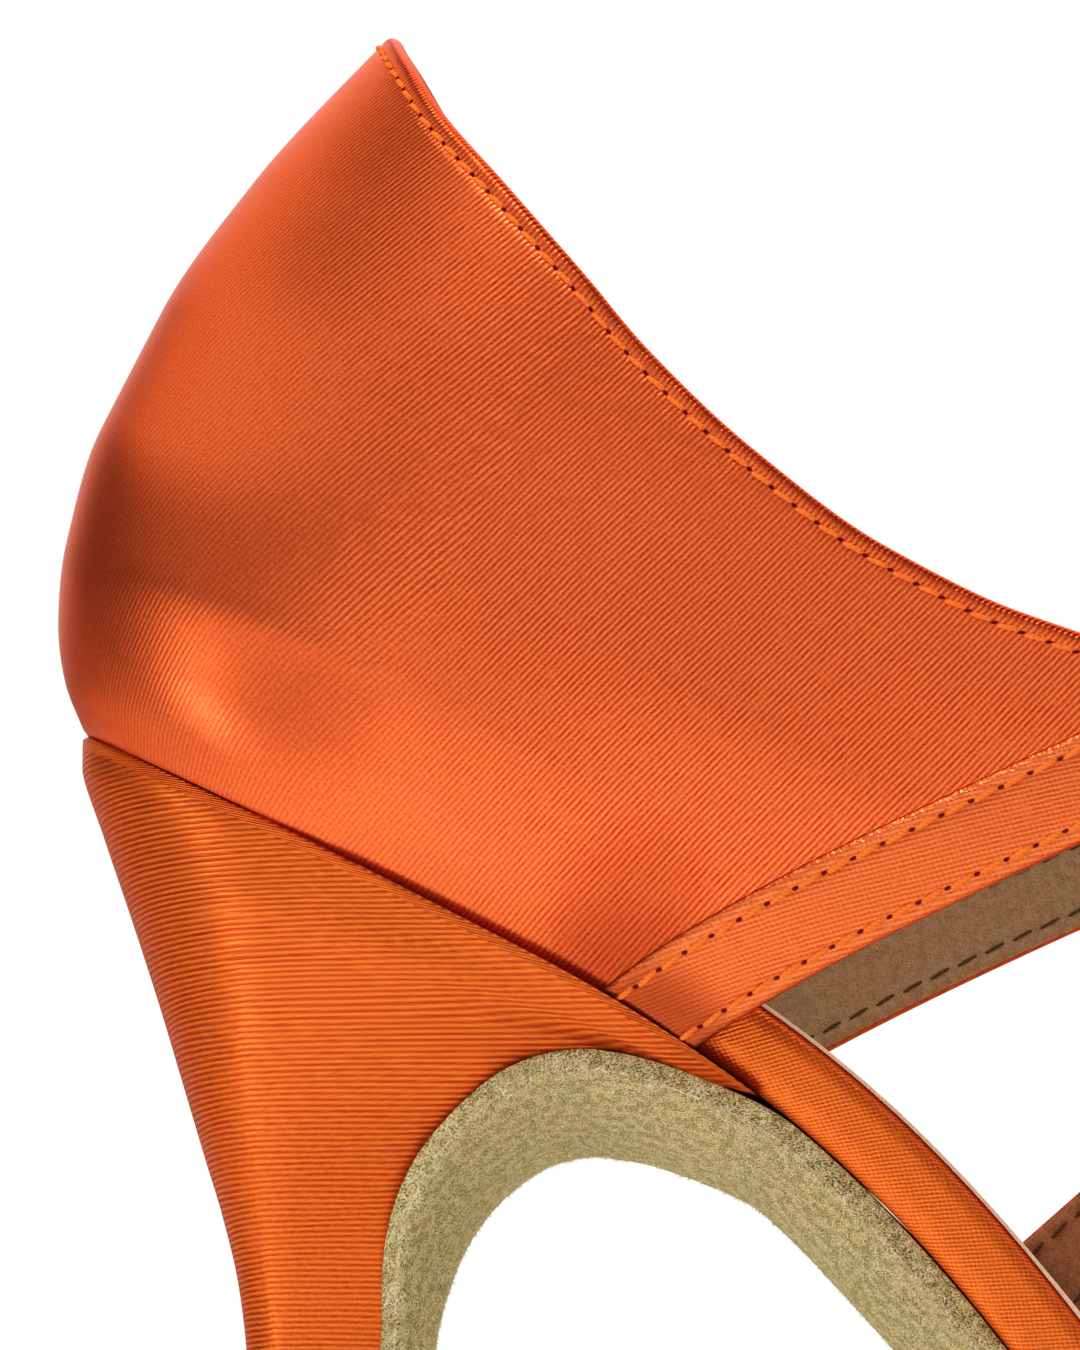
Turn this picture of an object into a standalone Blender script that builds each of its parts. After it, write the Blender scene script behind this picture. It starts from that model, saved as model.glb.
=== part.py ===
"""Latin dance sandal, right foot, as an assembly of thirteen pieces.

Sizes are millimetres and become metres when a mesh is made. X runs from heel to toe, -Y is the
outer (lateral) side, Z is up, and the floor is z = 0. Two side-view lines drive everything: the
bed, which is the underside of the insole from the seat to the toe, and the sole line, which
leaves the bed at the heel's lip and runs down the front of the heel.
"""
import math

import bmesh
import bpy
import numpy as np

MM = 0.001
GAP = 0.3                       # clearance between neighbouring pieces
OUTER = -1                      # lateral side
INNER = 1                       # medial side

# Bed line: distance along it from the seat's back, and how steeply it falls towards the toe.
BED = ((-12, 27.0), (42, 27.5), (58, 35), (72, 45), (86, 52), (100, 53), (126, 32), (150, 15),
       (163, 0), (190, 0), (245, -9))
BALL = 175                      # a distance where the sole lies flat on the floor
SOLE_EDGE = 3.0                 # thickness of the sole's edge under the ball

# Sole line behind the lip, counted along the same distance and then down the heel's front.
LIP = 65.5
BREAST = ((-20, -89), (21, -85), (25, -80), (28, -70), (31.2, -60), (33.7, -51), (36, -44),
          (39.8, -38), (42.6, -25), (45.2, -14), (47.3, -4), (49.4, 6.5), (51.4, 11.7), (55, 19.5),
          (60, 24), (63, 30), (LIP, 40.5))

# Insole: a round seat, a waist, and a rounded toe turned a little to the inner side.
SEAT_CENTRE = 25.0
SEAT_BACK = 22.6
SEAT_HALF = 23.0
TOE_START = 172.0
TOE_LENGTH = 73.0
TOE_POWER = 1.0
TOE_TURN = 8.0
INSOLE = (                      # distance, centre y, half width
    (25, 0.0, 23.0), (35, 0.0, 22.6), (45, 0.0, 21.5), (60, -0.5, 19.0), (80, -1.5, 17.0),
    (100, -2.0, 18.0), (120, -2.0, 23.0), (140, -2.0, 30.5), (155, -1.0, 35.5),
    (172, 0.5, 37.0))
INSOLE_THICK = 4.8
INSOLE_LEVELS = (               # height, edge beyond the outline: a soft edge, tucked in below
    (0.0, -1.3), (0.8, -0.35), (2.2, 0.0), (3.6, -0.3), (INSOLE_THICK, -1.1))
SOCK_THICK = 0.6
SOCK_INSET = 0.7
SOCK_SOFT = 0.2                 # rounding of the sock's upper edge
ROUND_END = 86                  # degrees round an end where the rows stop and a strip closes it

# Sole sections: distance, half width at the edge, edge thickness, crown of the underside.
SOLE = (
    (-18, 5.6, 1.4, 0.8), (2, 5.9, 1.4, 0.9), (14, 6.8, 1.4, 1.2), (20, 8.0, 1.4, 1.6),
    (26, 12.0, 1.5, 2.2), (31.5, 15.2, 1.6, 2.6), (37, 17.6, 1.7, 2.9), (43, 19.4, 1.8, 3.9),
    (50, 20.0, 1.8, 4.6), (58, 18.8, 1.8, 4.6), (LIP, 17.2, 1.9, 4.5), (76, 15.4, 2.0, 4.7),
    (90, 15.2, 2.1, 4.3), (115, 19.0, 2.4, 2.0), (140, 28.9, 2.9, 0.5),
    (155, 34.3, SOLE_EDGE, 0.0), (172, 35.8, SOLE_EDGE, 0.0))
SOLE_INSET = 1.2                # sole edge behind the insole's edge, ball and toe
SOLE_BEVEL = 0.5
CROWN_POINTS = 8                # even, so that a section's two ends close with strips

# Heel: the line of its back, and its sections from the seat down to the tip.
HEEL_BACK = (                   # height, x
    (6, 12.2), (20, 13.2), (34, 13.3), (43.7, 12.9), (47.6, 12.4), (51.4, 11.6), (55.2, 10.5),
    (62.9, 8.2), (70.7, 5.8), (78.4, 3.2), (86.3, 0.5), (90, -0.5))
HEEL_SECTIONS = (               # back height, sole-line distance in front, half width, at front
    (87.6, 58.2, 25.1, 19.3), (82.0, 54.5, 24.9, 19.6), (76.0, 49.5, 23.8, 19.9),
    (69.0, 44.3, 21.8, 19.3), (63.0, 39.0, 19.4, 17.9), (57.5, 34.3, 16.6, 15.6),
    (52.5, 29.8, 13.6, 13.1), (47.6, 25.2, 10.9, 10.6), (42.5, 19.2, 8.8, 8.0),
    (36.0, 12.5, 7.5, 6.7), (26.0, 2.4, 6.6, 5.9), (15.0, -8.7, 6.2, 5.6), (6.3, -18.0, 6.3, 5.6))
HEEL_RIM = 2.2                  # seat edge of the heel beyond the insole
HEEL_TOP = (58.8, 19.8, -0.4)   # the seat edge at its front: distance, half width, centre y
HEEL_WIDEST = 0.46              # share of a heel section from its back to its widest place
HEEL_SIDE = (0.3, 0.6, 0.85, 1.0)       # shares of the rest of it where the side has points
HEEL_FLAT = (0.6, 0.15)         # shares of the front's half width where its flat has points
SEAT_GAP = GAP + 0.05           # insole to heel
BREAST_GAP = 0.5                # heel behind the sole's flap, where both are curved
TIP_LEVELS = (                  # height, growth: the tip is a little wider than the heel
    (5.9, -0.1), (5.5, 0.15), (0.4, 0.1), (0.0, -0.25))

# Upper: a wall that stands on the seat. Bulge beyond its foot, by height above the seat (rows)
# and by place around the wall (columns): at the back, at the seat's widest, and further forward.
WALL = 1.6
WALL_FOOT = GAP + WALL
TOP_FOLD = 0.45                 # rounding of each side of the wall's folded top edge
BACK_RUN = 38.0                 # distance round the wall from its back to the seat's widest
BULGE_AT = (0.0, 38.0, 63.0, 90.0, 115.0)
BULGE = (                       # height, back, widest, waist, front, beyond
    (-4, -4.0, -1.5, -1.0, -1.0, -1.0),
    (0, 0.0, 0.0, 0.0, 0.0, 0.0), (3, 3.5, 2.0, 1.9, 1.5, 1.5), (7, 6.3, 3.6, 3.6, 3.3, 3.3),
    (13, 8.7, 5.0, 5.3, 5.5, 6.0), (22, 10.4, 5.3, 6.3, 7.8, 9.0), (32, 10.4, 4.6, 6.3, 9.3, 11.0),
    (44, 8.7, 2.6, 5.2, 10.0, 11.8), (60, 4.1, -1.0, 3.0, 10.0, 11.8))
TOPLINE = (                     # distance round the wall, height above the seat
    (0, 59.8), (5, 59.1), (12, 57.0), (20.5, 53.3), (27, 50.7), (34.7, 47.3), (43.3, 43.4),
    (53.7, 40.1), (65.5, 37.9), (73.5, 37.6), (81, 38.2), (92, 39.6))

ROWS_UP = np.array((0, 0.05, 0.11, 0.2, 0.32, 0.46, 0.6, 0.74, 0.87, 0.96, 1.0))

# Straps.
STRAP_WIDTH = 7.4
STRAP_OUT = 0.5                 # the straps stand this far beyond the wall
STRAP_IN = 1.1
ACROSS = np.array((-1.0, -0.86, -0.45, 0.0, 0.45, 0.86, 1.0)) * STRAP_WIDTH / 2
EDGE_SOFT = np.array((0.45, 0.0, 0.0, 0.0, 0.0, 0.0, 0.45))
STRAP_ROOT = (52.0, -0.6)       # the instep strap's root on the seat plane: forward, up
INNER_RAISE = 0.6               # the inner leg runs this much higher up the foot
STRAP_RISE = ((-8, 59), (0, 59), (8, 55), (20, 51.5), (40, 50.5), (110, 50.5))
LEG = 46.0                      # length of the strap's legs, before it turns over the instep
INSTEP = 86.0                   # from the root to the top of the instep
INSTEP_POWER = 2.5
TAIL_END = 44.0                 # where the free end of the instep strap stops
TAIL_ROUND = ((0, 0.4), (0.7, 0.75), (2.4, 1.0))        # from that end: share of full width
TUCK = 14.0                     # length of a leg over which its rows turn to the insole's line
KEEPER_AT = 50.0
KEEPER_LONG = 3.6
KEEPER_ROUND = 0.5
BUCKLE_AT = 58.0
BUCKLE_LONG = 8.5
BUCKLE_ROUND = 1.4              # radius of the frame's corners
BAR_DEPTH = (STRAP_OUT - STRAP_IN) / 2  # the buckle's bar lies in the middle of the strap
WIRE = 0.7                      # radius of the buckle's wire
FOLD = 0.6                      # thickness of the strap's fold round the buckle's bar
PRONG = 0.5                     # radius of the prong
PRONG_SLOT = 1.9                # width of the openings that the prong passes
PRONG_HOLE = (1.9, 5.4)         # the long strap's opening: middle ahead of the bar, length
FOLD_SLOT = 5.2                 # length of the opening in the short strap's fold
PRONG_LINE = (                  # ahead of the bar, above the hook: over the strap to the front bar
    (1.3, 0.5), (2.8, 0.9), (4.4, 0.9), (BUCKLE_LONG, 0.0), (BUCKLE_LONG + 1.2, -0.15))

# Other straps: outer root, inner root, lean of the loop, height, squareness, tilt of the band.
EDGE_CLEAR = GAP + 0.1          # their roots stand this far from the insole's edge
MIDFOOT = (102, 83.2, 42, 70, 2.3, 0)
VAMP_UNDER = (188, 160, 88, 37, 2.4, 18)
VAMP_OVER = (158, 190, 88, 38.6, 2.4, 18)

MATERIALS = {                   # colour, roughness, metallic
    "satin": ((0.60, 0.13, 0.035), 0.45, 0.0), "suede": ((0.38, 0.32, 0.16), 0.95, 0.0),
    "sock_leather": ((0.80, 0.55, 0.38), 0.7, 0.0), "rubber": ((0.06, 0.045, 0.04), 0.7, 0.0),
    "metal": ((0.80, 0.62, 0.36), 0.25, 1.0)}


# ---------------------------------------------------------------- lines and surfaces

def smooth(x, knots, values):
    """Monotone cubic through the knots, flat beyond both ends."""
    x = np.asarray(x, float)
    knots = np.asarray(knots, float)
    values = np.asarray(values, float)
    step = np.diff(knots)
    rise = np.diff(values) / step
    slope = np.concatenate(([rise[0]], np.zeros(len(rise) - 1), [rise[-1]]))
    for i in range(1, len(rise)):
        if rise[i - 1] * rise[i] > 0:
            slope[i] = 2 * rise[i - 1] * rise[i] / (rise[i - 1] + rise[i])
    i = np.clip(np.searchsorted(knots, x, side="right") - 1, 0, len(step) - 1)
    t = np.clip((x - knots[i]) / step[i], 0, 1)
    keep = (1 + 2 * t) * (1 - t) ** 2 * values[i] + t * t * (3 - 2 * t) * values[i + 1]
    return keep + step[i] * (t * (1 - t) ** 2 * slope[i] - t * t * (1 - t) * slope[i + 1])


def column(table, index):
    return [row[index] for row in table]


def chain(rows, fine=0.25):
    """Side-view line from slopes: distances, x, z and the slope in radians, from its first row."""
    s = np.arange(rows[0][0], rows[-1][0] + fine / 2, fine)
    slope = np.radians(np.interp(s, column(rows, 0), column(rows, 1)))
    middle = (slope[1:] + slope[:-1]) / 2
    x = np.concatenate(([0], np.cumsum(np.cos(middle)))) * fine
    z = np.concatenate(([0], np.cumsum(-np.sin(middle)))) * fine
    return s, x, z, slope


BED_S, BED_X, BED_Z, BED_SLOPE = chain(BED)
BED_X = BED_X - np.interp(0, BED_S, BED_X)
BED_Z = BED_Z - np.interp(BALL, BED_S, BED_Z) + SOLE_EDGE + GAP


def on_bed(s, y, h):
    """Point at distance s along the bed, y across, h above the insole's underside."""
    slope = np.interp(s, BED_S, BED_SLOPE)
    x = np.interp(s, BED_S, BED_X) + h * np.sin(slope)
    z = np.interp(s, BED_S, BED_Z) + h * np.cos(slope)
    return np.stack(np.broadcast_arrays(x, y, z), -1)


def sole_line():
    """The sole's upper face in side view: down the heel's front first, then along the bed."""
    s, x, z, slope = chain(BREAST)
    ahead = BED_S > LIP
    join = on_bed(LIP, 0, -GAP)
    front = on_bed(BED_S[ahead], 0, -GAP)
    return (np.concatenate((s, BED_S[ahead])),
            np.concatenate((x - x[-1] + join[0], front[:, 0])),
            np.concatenate((z - z[-1] + join[2], front[:, 2])),
            np.concatenate((slope, BED_SLOPE[ahead])))


SOLE_S, SOLE_X, SOLE_Z, SOLE_SLOPE = sole_line()


def on_sole(s, y, h):
    """Point at distance s along the sole line, y across, h towards the insole or the heel."""
    slope = np.interp(s, SOLE_S, SOLE_SLOPE)
    x = np.interp(s, SOLE_S, SOLE_X) + h * np.sin(slope)
    z = np.interp(s, SOLE_S, SOLE_Z) + h * np.cos(slope)
    return np.stack(np.broadcast_arrays(x, y, z), -1)


SEAT_TILT = math.radians(BED[0][1])
SEAT_Z = float(on_bed(0, 0, 0)[2])


def on_seat(forward, y, up):
    """Point from the seat's own axes: along the seat, across, and square to it."""
    x = forward * math.cos(SEAT_TILT) + up * math.sin(SEAT_TILT)
    z = SEAT_Z - forward * math.sin(SEAT_TILT) + up * math.cos(SEAT_TILT)
    return np.stack(np.broadcast_arrays(x, y, z), -1)


def bed_below(forward):
    """Height of the bed line over the seat plane, which it leaves at the waist."""
    forward_s = BED_X * math.cos(SEAT_TILT) - (BED_Z - SEAT_Z) * math.sin(SEAT_TILT)
    up_s = BED_X * math.sin(SEAT_TILT) + (BED_Z - SEAT_Z) * math.cos(SEAT_TILT)
    return np.interp(forward, forward_s, up_s)


def centre_at(s):
    toe = np.clip((s - TOE_START) / TOE_LENGTH, 0, 1)
    return smooth(s, column(INSOLE, 0), column(INSOLE, 1)) + TOE_TURN * toe ** 1.5


def half_at(s):
    """Half width of the insole from the seat's widest place forward."""
    toe = np.clip((s - TOE_START) / TOE_LENGTH, 0, 1)
    return smooth(s, column(INSOLE, 0), column(INSOLE, 2)) * (1 - toe ** 2) ** (TOE_POWER / 2)


def insole_edge():
    """The insole's edge as two rows of (distance, y), inner side and outer side, back to toe."""
    turn = np.radians(np.linspace(ROUND_END, 9, 10))
    waist = np.linspace(SEAT_CENTRE, TOE_START, 26)
    bend = np.radians(np.linspace(7, ROUND_END, 12))
    s = np.concatenate((SEAT_CENTRE - SEAT_BACK * np.sin(turn), waist,
                        TOE_START + TOE_LENGTH * np.sin(bend)))
    half = np.concatenate((SEAT_HALF * np.cos(turn), half_at(s[len(turn):])))
    return (np.stack((s, centre_at(s) + half), -1), np.stack((s, centre_at(s) - half), -1))


def ring_of(inner, outer):
    """One closed loop from an inner row and an outer row that run the same way."""
    return np.concatenate((inner, outer[::-1]))


def widen(loop, amount):
    """Closed plane loop moved outwards by an amount."""
    along = np.roll(loop, -1, 0) - np.roll(loop, 1, 0)
    along /= np.linalg.norm(along, axis=1)[:, None]
    out = np.stack((-along[:, 1], along[:, 0]), -1)
    return loop + out * amount


def wall_bulge(around, up):
    """Bulge of the upper's wall at a distance round it (from its back) and a height."""
    heights = column(BULGE, 0)
    rows = np.stack([smooth(up, heights, column(BULGE, 1 + k)) for k in range(len(BULGE_AT))])
    knots = np.asarray(BULGE_AT)
    flat = np.broadcast_to(np.abs(around), rows.shape[1:]).ravel()
    rows = rows.reshape(len(knots), -1)
    values = [smooth(flat[i], knots, rows[:, i]) for i in range(flat.size)]
    return np.reshape(values, np.shape(up))


def on_wall(around, up):
    """Outer face of the upper's wall. around is below zero on the outer side of the foot."""
    around, up = np.broadcast_arrays(np.asarray(around, float), np.asarray(up, float))
    side = np.where(around < 0, OUTER, INNER)
    bulge = wall_bulge(around, up)
    run = np.abs(around)
    turn = np.radians(90 * (1 - np.clip(run / BACK_RUN, 0, 1)))
    ahead = SEAT_CENTRE + np.maximum(run - BACK_RUN, 0)
    forward = ahead - (SEAT_BACK + WALL_FOOT + bulge) * np.sin(turn)
    half = np.where(run < BACK_RUN, SEAT_HALF, half_at(ahead))
    y = centre_at(ahead) + side * (half + WALL_FOOT + bulge) * np.cos(turn)
    return on_seat(forward, y, up)


STRAP_D, STRAP_F, STRAP_U, STRAP_SLOPE = chain(STRAP_RISE)
STRAP_F = STRAP_F - np.interp(0, STRAP_D, STRAP_F) + STRAP_ROOT[0]
STRAP_U = -STRAP_U
STRAP_U = STRAP_U - np.interp(0, STRAP_D, STRAP_U) + STRAP_ROOT[1]


def strap_line(d, across, side=OUTER):
    """Seat-plane place (forward, up) on the instep strap, d from its root, across its width."""
    if side == INNER:
        across = across - INNER_RAISE * smooth(d, (0, 33, LEG, INSTEP), (0, 1, 1, 0))
    slope = np.interp(d, STRAP_D, STRAP_SLOPE)
    forward = np.interp(d, STRAP_D, STRAP_F) + across * np.sin(slope)
    up = np.interp(d, STRAP_D, STRAP_U) - across * np.cos(slope)
    return forward, up


def strap_start(across):
    """Where the strap line meets the insole's underside, at a place across the strap."""
    d = 0.0
    for _ in range(12):
        forward, up = strap_line(d, across)
        d -= float(up - bed_below(forward))
    return d


# ---------------------------------------------------------------- bodies

def material(name):
    found = bpy.data.materials.get(name)
    if found:
        return found
    made = bpy.data.materials.new(name)
    made.use_nodes = True
    shader = made.node_tree.nodes["Principled BSDF"]
    colour, rough, metal = MATERIALS[name]
    shader.inputs["Base Color"].default_value = (*colour, 1)
    shader.inputs["Roughness"].default_value = rough
    shader.inputs["Metallic"].default_value = metal
    return made


def body(name, points, faces, slot, sharp=35):
    """Closed mesh object from points in millimetres, with its normals outwards."""
    mesh = bpy.data.meshes.new(name)
    mesh.from_pydata([tuple(p * MM) for p in points], [], faces)
    work = bmesh.new()
    work.from_mesh(mesh)
    bmesh.ops.recalc_face_normals(work, faces=work.faces)
    work.to_mesh(mesh)
    work.free()
    mesh.shade_smooth()
    mesh.set_sharp_from_angle(angle=math.radians(sharp))
    made = bpy.data.objects.new(name, mesh)
    made.data.materials.append(material(slot))
    bpy.context.collection.objects.link(made)
    return made


def skin(name, rings, slot, sharp=35):
    """Closed rings joined in order. Both ends close with strips from one side to the other."""
    rings = np.asarray(rings)
    count, size = rings.shape[:2]
    faces = []
    for k in range(count - 1):
        for i in range(size):
            j = (i + 1) % size
            faces.append((k * size + i, k * size + j, (k + 1) * size + j, (k + 1) * size + i))
    for first in (0, (count - 1) * size):
        for i in range(size // 2 - 1):
            near = (first + i, first + i + 1)
            far = (first + size - 2 - i, first + size - 1 - i)
            faces.append((*near, *far))
    return body(name, rings.reshape(-1, 3), faces, slot, sharp)


def shell(name, grid, out, into, slot, closed=False, sharp=35):
    """Sheet with a thickness: a grid of points, set out and in along its own normals."""
    rows, cols = grid.shape[:2]
    if closed:
        along = np.roll(grid, -1, 0) - np.roll(grid, 1, 0)
    else:
        along = np.gradient(grid, axis=0)
    across = np.gradient(grid, axis=1)
    normal = np.cross(along, across)
    normal /= np.linalg.norm(normal, axis=2)[:, :, None]
    out = np.broadcast_to(out, (rows, cols))[:, :, None]
    into = np.broadcast_to(into, (rows, cols))[:, :, None]
    points = np.concatenate(((grid + normal * out).reshape(-1, 3),
                             (grid - normal * into).reshape(-1, 3)))
    back = rows * cols
    faces = []
    spans = rows if closed else rows - 1
    for i in range(spans):
        k = (i + 1) % rows
        for j in range(cols - 1):
            quad = (i * cols + j, k * cols + j, k * cols + j + 1, i * cols + j + 1)
            faces.append(quad)
            faces.append(tuple(back + q for q in reversed(quad)))
        for j in (0, cols - 1):
            faces.append((i * cols + j, k * cols + j, back + k * cols + j, back + i * cols + j))
    if not closed:
        for i in (0, rows - 1):
            for j in range(cols - 1):
                at = i * cols + j
                faces.append((at, at + 1, back + at + 1, back + at))
    return body(name, points, faces, slot, sharp)


def cut(made, cutters, operation="DIFFERENCE"):
    """Boolean with each cutter, which is then a hidden guide."""
    for cutter in cutters:
        step = made.modifiers.new(cutter.name, "BOOLEAN")
        step.operation = operation
        step.object = cutter
        cutter.hide_render = True
        cutter.display_type = "WIRE"
    return made


def block(name, centre, axes, size):
    """Box with its own three axes, for cutting."""
    points = []
    for corner in range(8):
        signs = [(corner >> bit & 1) - 0.5 for bit in range(3)]
        points.append(centre + sum(a * w * f for a, w, f in zip(axes, size, signs)))
    faces = ((0, 1, 3, 2), (4, 5, 7, 6), (0, 1, 5, 4), (2, 3, 7, 6), (0, 2, 6, 4), (1, 3, 7, 5))
    return body(name, points, faces, "satin")


def rod(name, centre, axis, length, radius):
    """Round bar along an axis, with sixteen sides."""
    first = np.cross(axis, (0.3, 0.2, 1.0))
    first /= np.linalg.norm(first)
    second = np.cross(axis, first)
    turn = np.radians(np.arange(0, 360, 22.5))[:, None]
    ring = centre + radius * (np.cos(turn) * first + np.sin(turn) * second)
    return skin(name, (ring - axis * length / 2, ring + axis * length / 2), "satin")


def wire(name, points, radius, slot, cyclic):
    """Round wire through points in millimetres."""
    curve = bpy.data.curves.new(name, "CURVE")
    curve.dimensions = "3D"
    curve.bevel_depth = radius * MM
    curve.bevel_resolution = 2
    curve.use_fill_caps = True
    line = curve.splines.new("POLY")
    line.points.add(len(points) - 1)
    for place, p in zip(line.points, points):
        place.co = (*(p * MM), 1)
    line.use_cyclic_u = cyclic
    made = bpy.data.objects.new(name, curve)
    curve.materials.append(material(slot))
    bpy.context.collection.objects.link(made)
    return made


# ---------------------------------------------------------------- bottom

def build_insole():
    loop = ring_of(*insole_edge())
    rings = []
    for h, grow in INSOLE_LEVELS:
        edge = widen(loop, grow)
        rings.append(on_bed(edge[:, 0], edge[:, 1], h))
    return skin("insole", rings, "satin", 50)


def build_sock():
    loop = ring_of(*insole_edge())
    low = INSOLE_THICK + GAP
    levels = ((low, -SOCK_INSET), (low + SOCK_THICK - SOCK_SOFT, -SOCK_INSET),
              (low + SOCK_THICK, -SOCK_INSET - SOCK_SOFT))
    rings = []
    for h, grow in levels:
        edge = widen(loop, grow)
        rings.append(on_bed(edge[:, 0], edge[:, 1], h))
    return skin("sock", rings, "sock_leather", 50)


def sole_stations():
    breast = np.linspace(SOLE[0][0], LIP, 22)
    waist = np.linspace(LIP, TOE_START, 20)[1:]
    bend = np.radians(np.linspace(7, ROUND_END, 12))
    reach = TOE_LENGTH - SOLE_INSET
    return np.concatenate((breast, waist, TOE_START + reach * np.sin(bend)))


def build_outsole():
    """One sheet: flap on the heel's front, crowned waist, flat ball and sprung toe."""
    rings = []
    for s in sole_stations():
        half, thick, crown = (float(smooth(s, column(SOLE, 0), column(SOLE, k))) for k in (1, 2, 3))
        toe = min(max((s - TOE_START) / (TOE_LENGTH - SOLE_INSET), 0), 1)
        half *= (1 - toe ** 2) ** (TOE_POWER / 2)
        middle = float(centre_at(s)) if s > LIP else float(centre_at(LIP)) * max(s, 0) / LIP
        bevel = min(SOLE_BEVEL, half * 0.3)
        section = [(1.0, 0.0), (1.0, bevel - thick)]
        for f in np.linspace(1, -1, CROWN_POINTS):
            section.append((f * (1 - bevel / half), -thick - crown * (1 - f * f)))
        section += [(-1.0, bevel - thick), (-1.0, 0.0)]
        rings.append([on_sole(s, middle + f * half, h) for f, h in section])
    return skin("outsole", rings, "suede", 40)


def d_section(back, front, half, half_front, centre):
    """Closed outline between two side-view points, round at its back and flat at its front."""
    turn = np.radians(np.linspace(ROUND_END, 0, 9))
    ahead = np.array(HEEL_SIDE)
    flat = np.array(HEEL_FLAT)
    place = np.concatenate((HEEL_WIDEST * (1 - np.sin(turn)),
                            HEEL_WIDEST + (1 - HEEL_WIDEST) * ahead, np.ones(len(flat))))
    width = np.concatenate((half * np.cos(turn), half + (half_front - half) * ahead ** 2,
                            half_front * flat))
    line = np.asarray(back)[None] + (np.asarray(front) - back)[None] * place[:, None]
    rows = []
    for side in (1, -1):
        y = centre * place + side * width
        rows.append(np.stack((line[:, 0], y, line[:, 1]), -1))
    return ring_of(*rows)


def heel_ring(row):
    height, s, half, half_front = row
    back = (float(smooth(height, column(HEEL_BACK, 0), column(HEEL_BACK, 1))), height)
    front = on_sole(s, 0, BREAST_GAP)[[0, 2]]
    return d_section(back, front, half, half_front, 0.0)


def heel_seat_ring():
    """The heel's top edge, on the bed line, a little wider than the upper's foot."""
    front, half_front, centre = HEEL_TOP
    flat = d_section((SEAT_CENTRE - SEAT_BACK - HEEL_RIM, 0.0), (front, 0.0),
                     SEAT_HALF + HEEL_RIM, half_front, centre)
    return on_bed(flat[:, 0], flat[:, 1], -SEAT_GAP)


def build_heel():
    rings = [heel_seat_ring()] + [heel_ring(row) for row in HEEL_SECTIONS]
    return skin("heel", rings, "satin", 50)


def build_heel_tip():
    height, s, half, half_front = HEEL_SECTIONS[-1]
    back_x = float(smooth(height, column(HEEL_BACK, 0), column(HEEL_BACK, 1)))
    front_x = float(on_sole(s, 0, -SOLE[0][2] - SOLE[0][3])[0])
    rings = []
    for z, grow in TIP_LEVELS:
        rings.append(d_section((back_x - grow, z), (front_x + grow, z), half + grow,
                               half_front + grow, 0.0))
    return skin("heel_tip", rings, "rubber", 50)


# ---------------------------------------------------------------- upper

def counter_side(side):
    """Grid of (around, up) from the seat's widest place to the strap's edge, for one side."""
    edge = -STRAP_WIDTH / 2 - GAP
    start = strap_start(edge)
    reach = np.arange(start, 80, 0.25)
    forward, up = strap_line(reach, edge, side)
    around = forward - SEAT_CENTRE + BACK_RUN
    top = smooth(around, column(TOPLINE, 0), column(TOPLINE, 1))
    finish = float(reach[np.argmax(up > top)])
    v = ROWS_UP[None]
    d = start + (finish - start) * ROWS_UP
    f_front, u_front = strap_line(d, edge, side)
    a_front = f_front - SEAT_CENTRE + BACK_RUN
    t = np.linspace(0, 1, 11)[:, None]
    a_low = BACK_RUN + (a_front[0] - BACK_RUN) * t
    a_top = BACK_RUN + (a_front[-1] - BACK_RUN) * t
    u_low = bed_below(a_low - BACK_RUN + SEAT_CENTRE)
    u_top = smooth(a_top, column(TOPLINE, 0), column(TOPLINE, 1))
    u_back = u_low[0, 0] + (u_top[0, 0] - u_low[0, 0]) * v
    around = ((1 - t) * BACK_RUN + t * a_front[None] + (1 - v) * a_low + v * a_top
              - ((1 - t) * BACK_RUN + t * ((1 - v) * a_front[0] + v * a_front[-1])))
    up = ((1 - t) * u_back + t * u_front[None] + (1 - v) * u_low + v * u_top
          - (1 - t) * u_back - t * ((1 - v) * u_front[0] + v * u_front[-1]))
    return side * around, up


def counter_grid():
    """Outer face of the counter: from its outer front edge round the back to its inner one."""
    around_out, up_out = counter_side(OUTER)
    around_in, up_in = counter_side(INNER)
    around_back = np.linspace(-BACK_RUN, BACK_RUN, 21)[1:-1, None] + 0 * ROWS_UP[None]
    top = smooth(np.abs(around_back), column(TOPLINE, 0), column(TOPLINE, 1))
    up_back = top * ROWS_UP[None]
    around = np.concatenate((around_out[::-1], around_back, around_in))
    up = np.concatenate((up_out[::-1], up_back, up_in))
    return on_wall(around, up)


def build_counter():
    grid = counter_grid()
    out = np.zeros(len(ROWS_UP))
    into = np.full(len(ROWS_UP), WALL)
    out[-1] = -TOP_FOLD
    into[-1] = WALL - TOP_FOLD
    return shell("counter", grid[::-1], out, into, "satin", sharp=50)


def instep_place(d, across, side):
    """Middle sheet of the instep strap: up the wall, then over the instep."""
    turn = np.clip((d - LEG) / (INSTEP - LEG), 0, 1)
    forward, up = strap_line(d, across, side)
    leg_f, leg_u = strap_line(np.minimum(d, LEG), across, side)
    foot = on_wall(side * (leg_f - SEAT_CENTRE + BACK_RUN), leg_u)
    place = on_seat(forward, foot[..., 1], up)
    place[..., 1] = foot[..., 1] * (1 - turn ** INSTEP_POWER) ** (1 / INSTEP_POWER)
    return place


def leg_rows(first, last, count):
    """Distances of a strap's rows: each column starts at the insole's underside."""
    d = np.linspace(first, last, count)[:, None] + 0 * ACROSS[None]
    if first == 0:
        start = np.array([strap_start(a) for a in ACROSS])[None]
        d = d + start * np.clip(1 - d / TUCK, 0, 1)
    return d


def cap_rows():
    """Distances over the instep, closer together where the strap turns."""
    turn = np.radians(np.linspace(0, ROUND_END, 12)[1:])
    return (LEG + (INSTEP - LEG) * np.sin(turn) ** (2 / INSTEP_POWER))[:, None] + 0 * ACROSS[None]


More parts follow.
